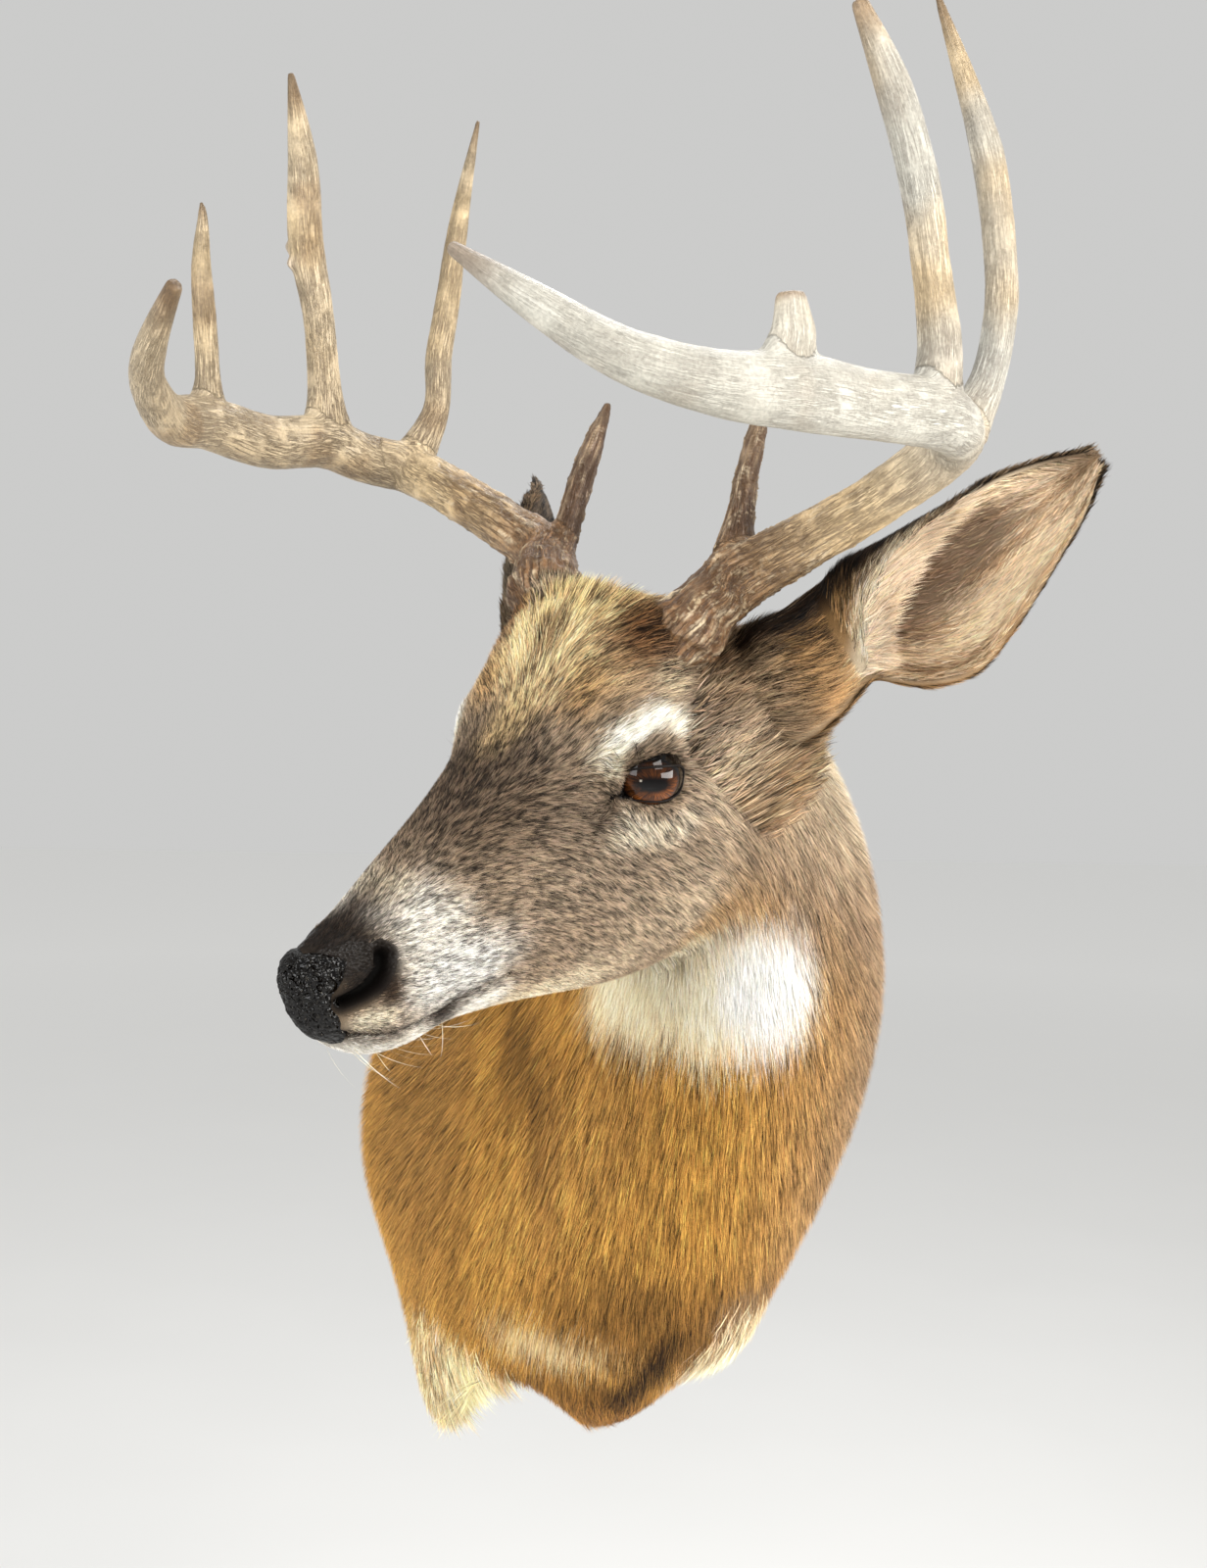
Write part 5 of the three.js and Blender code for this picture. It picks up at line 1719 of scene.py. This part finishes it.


# ---------------------------------------------------------------------------
# Stage

# The camera's place and axes, worked out beforehand from where the lines of the wall's planks meet and from
# an assumed width of the planks.
CAMERA_AT = np.array([-66.1, -1345.9, 306.8])
CAMERA_RIGHT = np.array([0.9989, -0.0415, 0.0195])
CAMERA_DOWN = np.array([0.0162, -0.0798, -0.9967])
FLOOR_Z = -900
FLOOR_HALF = 9000
LIGHTS = [
    # name, at and aim in metres, size, watts, colour, whether surfaces reflect it
    ("key", (1.5, -1.9, 1.9), (0.0, -0.25, 0.2), (1.3, 1.3), 62, (1.0, 0.97, 0.93), True),
    ("fill", (-1.9, -1.9, 1.1), (0.0, -0.25, 0.1), (1.6, 1.6), 60, (0.98, 0.99, 1.0), True),
    ("low", (0.1, -1.7, -1.15), (0.0, -0.28, 0.05), (1.6, 0.8), 46, (1.0, 0.97, 0.92), False),
    ("sparkle", (-0.52, -1.85, -0.13), (-0.154, -0.5, 0.14), (0.24, 0.2), 3.6, (1.0, 0.9, 0.74), True),
    ("rim", (0.6, 0.9, 1.9), (0.0, -0.2, 0.3), (1.2, 0.8), 24, (1, 1, 1), True),
    ("window", (1.4, -0.86, 0.32), (0.0, -0.4, 0.24), (1.3, 0.4), 25, (1.0, 0.98, 0.95), True),
]


def set_camera():
    """The camera of the picture: a 45 mm lens over a frame 36 mm high."""
    data = bpy.data.cameras.new("camera")
    data.sensor_fit = "VERTICAL"
    data.sensor_height = 36
    data.lens = 45
    data.clip_end = 50
    camera = bpy.data.objects.new("camera", data)
    right = unit(CAMERA_RIGHT)
    up = -unit(CAMERA_DOWN - right * (CAMERA_DOWN @ right))
    back = np.cross(right, up)
    matrix = np.eye(4)
    matrix[:3, 0], matrix[:3, 1], matrix[:3, 2], matrix[:3, 3] = right, up, back, CAMERA_AT * MM
    camera.matrix_world = Matrix(matrix.tolist())
    SCENE.collection.objects.link(camera)
    SCENE.camera = camera


def area_light(name, at, aim, size, watts, colour, reflected):
    """A rectangular lamp that points at its aim."""
    data = bpy.data.lights.new(name, "AREA")
    data.shape = "RECTANGLE"
    data.size, data.size_y = size
    data.energy = watts
    data.color = colour
    light = bpy.data.objects.new(name, data)
    light.visible_glossy = reflected
    light.location = Vector(at)
    light.rotation_euler = (Vector(aim) - Vector(at)).to_track_quat("-Z", "Y").to_euler()
    SCENE.collection.objects.link(light)


def set_stage():
    """A pale floor, a pale sky and soft studio lights."""
    world = bpy.data.worlds.new("studio")
    world.use_nodes = True
    background = world.node_tree.nodes["Background"]
    background.inputs["Color"].default_value = (0.86, 0.86, 0.85, 1)
    background.inputs["Strength"].default_value = 0.7
    SCENE.world = world
    s = Shader("pale_floor")
    s.set(Roughness=0.9)
    reach = s.node("ShaderNodeVectorMath", operation="LENGTH")
    s.join(s.node("ShaderNodeTexCoord").outputs["Object"], reach.inputs[0])
    plain = s.blend(s.noise(3, 2.0), (0.70, 0.70, 0.69), (0.74, 0.74, 0.73))
    s.colour(s.blend(s.ramp(reach.outputs["Value"], 0, 1, 1.5, 6), plain, (0.97, 0.97, 0.96)))
    ways = ((-1, -1), (1, -1), (1, 1), (-1, 1))
    corners = np.array([[x * FLOOR_HALF, y * FLOOR_HALF, FLOOR_Z] for x, y in ways])
    make_mesh("floor", corners, [[0, 1, 2, 3]], s.material)
    for light in LIGHTS:
        area_light(*light)
    SCENE.view_settings.view_transform = "Standard"
    SCENE.view_settings.look = "None"


# ---------------------------------------------------------------------------
# The coat of the head and body. The first list of each pair holds section numbers.

HAIR_LENGTH = ([0, 3, 6, 8, 10, 11, 12, 13, 15, 18], [2.4, 3.6, 5.2, 6.0, 9, 11, 14, 16, 18, 20])
HAIR_WIDTH = ([0, 4, 8, 11, 12, 18], [0.44, 0.52, 0.6, 0.62, 0.62, 0.68])
FACE_DENSITY = ([0, 4, 8, 11, 12], [2.6, 2.2, 1.5, 0.9, 0.6])


def hair_length(field):
    """Shortest on the muzzle and lids, longer on the crown and round the ears, longest on the body."""
    q, _ = mirrored(to_head(field["skin"]))
    length = np.interp(field["u"], *HAIR_LENGTH)
    length = mix(length, 3.0, 1 - smooth(1.3, 2.4, lid_measure(q)))
    length = length * mix(1.0, 1.7, smooth(30, 60, q[..., 2]) * (field["u"] < 12))
    return mix(length, 17.0, near_ear(q))


FRINGES = [
    # name, at, reach, blades, length, slot
    ("coat_lobe", [-104, -90, -190], [40, 90, 46], 9000, 34, "pale_coat"),
    ("coat_foot", [80, -200, -118], [22, 70, 40], 6000, 30, "pale_coat"),
    ("coat_brisket", [-16, -150, -190], [70, 80, 34], 9000, 22, "coat"),
]


def build_fringe(field, width, hair):
    """Longer, looser hair that hangs from the forelegs and the brisket."""
    at = field["outline"]
    down = along_surface(field["lie"] + [0, 0, -1.0], field["normal"])
    falls = dict(field, ticking=field["ticking"] * 0.5, lie=down)
    for name, centre, reach, count, length, slot in FRINGES:
        near = np.exp(-((((at - centre) / reach) ** 2).sum(-1) ** 2))
        full = np.ones_like(near)
        share = 0.5 if slot == "pale_coat" else 0
        falls["colour"] = mix(field["colour"], tint(250, 228, 190), share)
        coat(name, falls, near, count, length * full, width, 8 * full, 4, hair, slot, ruffle=0.36, strand=3.0)


def haired(field):
    """1 where hair grows, 0 on the pad, the lids, the nostrils and the tear lines."""
    q, _ = mirrored(to_head(field["skin"]))
    natural, _ = mirrored(to_head(field["outline"]))
    bare = smooth(0.0, 2.5, pad_measure(natural))
    lids = smooth(1.0, 1.12, lid_measure(q))
    nostril = smooth(4.6, 7.0, line_distance(natural[..., 1:3], NOSTRIL)[0])
    beside = smooth(3.5, 8.0, line_distance(natural[..., 1:3], NOSE_SIDE)[0])
    tears = smooth(0.8, 2.0, line_distance(q[..., 1:3], TEAR_LINE[:3])[0] + 9 * (q[..., 0] < 30))
    return bare * lids * np.where(natural[..., 0] > 10, nostril * beside, 1) * tears


def build_coat(field, hair):
    """The coat of the face, the crown and the body, with their longer hair."""
    q, _ = mirrored(to_head(field["skin"]))
    u = field["u"]
    face = 1 - smooth(11.6, 12.8, u)
    body = smooth(11.0, 12.2, u)
    keep = haired(field)
    crown = smooth(30, 60, q[..., 2]) * face
    width = np.interp(u, *HAIR_WIDTH) * mix(1.0, 1.35, crown)
    sizes = (field["length"], width, field["depth"] * 0.95, 2)
    tufted = dict(field, colour=field["shown"])
    plain = face * keep * np.interp(u, *FACE_DENSITY) * (1 - crown)
    coat("coat_face", tufted, plain, 370000, *sizes, hair, ruffle=0.16, strand=0.9, reach=0.6)
    coat("coat_crown", tufted, face * keep * crown, 50000, *sizes, hair, ruffle=0.24, strand=1.8)
    flow = {"ruffle": 0.08, "strand": 1.05, "reach": 1.1, "waves": 0.16}
    coat("coat_body", tufted, body * keep, 480000, *sizes, hair, **flow)
    build_fringe(tufted, width, hair)
    build_skirts(tufted, width, hair)
    build_whiskers(field, hair)


BOTH = (-1, 1)
RIGHT = (-1,)
PEDICLE_AXIS = unit([11, 15, 24])
BELOW = [0, 0.3, -1]
OUTSIDE = [-1, 0.3, 0]
SKIRTS = [
    # name, foot in the head frame, axis, inner and outer reach, blades, length, sides, colour and its
    # share, side of the foot that it keeps to
    ("coat_ear_root", [62, 80, 13], EAR_AXIS, 14, 34, 24000, 24, BOTH, tint(150, 120, 90), 0.0, None),
    ("coat_under_ear", [60, 78, 12], EAR_AXIS, 22, 52, 9000, 27, BOTH, tint(198, 172, 140), 0.5, BELOW),
    ("coat_pedicle", [42, 48, 62], PEDICLE_AXIS, 10, 24, 5000, 18, RIGHT, tint(120, 108, 92), 0.8, OUTSIDE),
]


def build_skirts(field, width, hair):
    """Hair that rises from the head over the root of each ear and beside the right antler's."""
    q, side = mirrored(to_head(field["skin"]))
    for name, foot, axis, inner, outer, count, length, sides, paint, share, keep_to in SKIRTS:
        offset = q - np.array(foot, float)
        out = offset - axis * dot(offset, axis)[..., None]
        gap = lengths(out)[..., 0]
        out = unit(out)
        near = smooth(inner - 5, inner, gap) * smooth(outer + 14, outer - 6, gap)
        near = near * (np.abs(dot(offset, axis)) < 40) * np.isin(side, sides)
        if keep_to is not None:
            near = near * smooth(0.1, 0.5, dot(out, unit(np.array(keep_to))))
        rising = dict(field, normal=unfold(out, side) @ HEAD.T)
        rising["lie"] = unfold(unit(axis - 0.1 * out), side) @ HEAD.T
        rising["colour"] = mix(field["colour"], paint, share)
        rising["ticking"] = np.maximum(field["ticking"], 0.5 * share)
        full = np.ones_like(near)
        reach = length * mix(1.0, 0.55, smooth(inner, outer + 6, gap))
        coat(name, rising, near, count, reach, width, 2.4 * full, 3, hair, ruffle=0.3, strand=1.4)


LASH_WAY = unit([0.5, -0.8, 0.5])


def build_whiskers(field, hair):
    """Single long pale hairs on the chin and muzzle, and dark lashes over the eyes."""
    q, side = mirrored(to_head(field["skin"]))
    full = np.ones_like(side)
    chin = smooth(-66, -72, q[..., 2]) * smooth(-118, -130, q[..., 1]) * (field["u"] < 6)
    pale = dict(field, colour=full[..., None] * tint(226, 212, 184), ticking=0 * full)
    pale["lie"] = along_surface(field["lie"] + [0, 0, -0.6], field["normal"])
    coat("coat_whiskers", pale, chin, 24, 34 * full, 0.2 * full, 13 * full, 8, hair, "pale_coat", ruffle=0.5)
    measure = lid_measure(q)
    over = smooth(1.25, 1.35, measure) * smooth(1.8, 1.6, measure) * (eye_frame(q)[1] > 3)
    dark = dict(field, colour=full[..., None] * tint(34, 25, 19), ticking=full)
    dark["lie"] = unfold(LASH_WAY * full[..., None], side) @ HEAD.T
    coat("coat_lashes", dark, over, 60, 12 * full, 0.26 * full, 3 * full, 6, hair, ruffle=0.2)


# ---------------------------------------------------------------------------
# Assembly

hair = hair_material()
hide_skin = hide_material()
field = hide_field()
build_hide(field, hide_skin)
build_coat(field, hair)
wet = black_skin()
build_rims(wet)
eye_look = eye_material()
for ear, sign in (("left", 1), ("right", -1)):
    build_eye(f"eye_{ear}", sign, eye_look)
    build_ear(ear, sign, hide_skin, hair)
bone = antler_material()
for which in ANTLERS:
    build_antler(f"bone_{which}", which, ANTLERS[which], bone)
build_nose(nose_material())
dress_board(board_material())
set_camera()
set_stage()
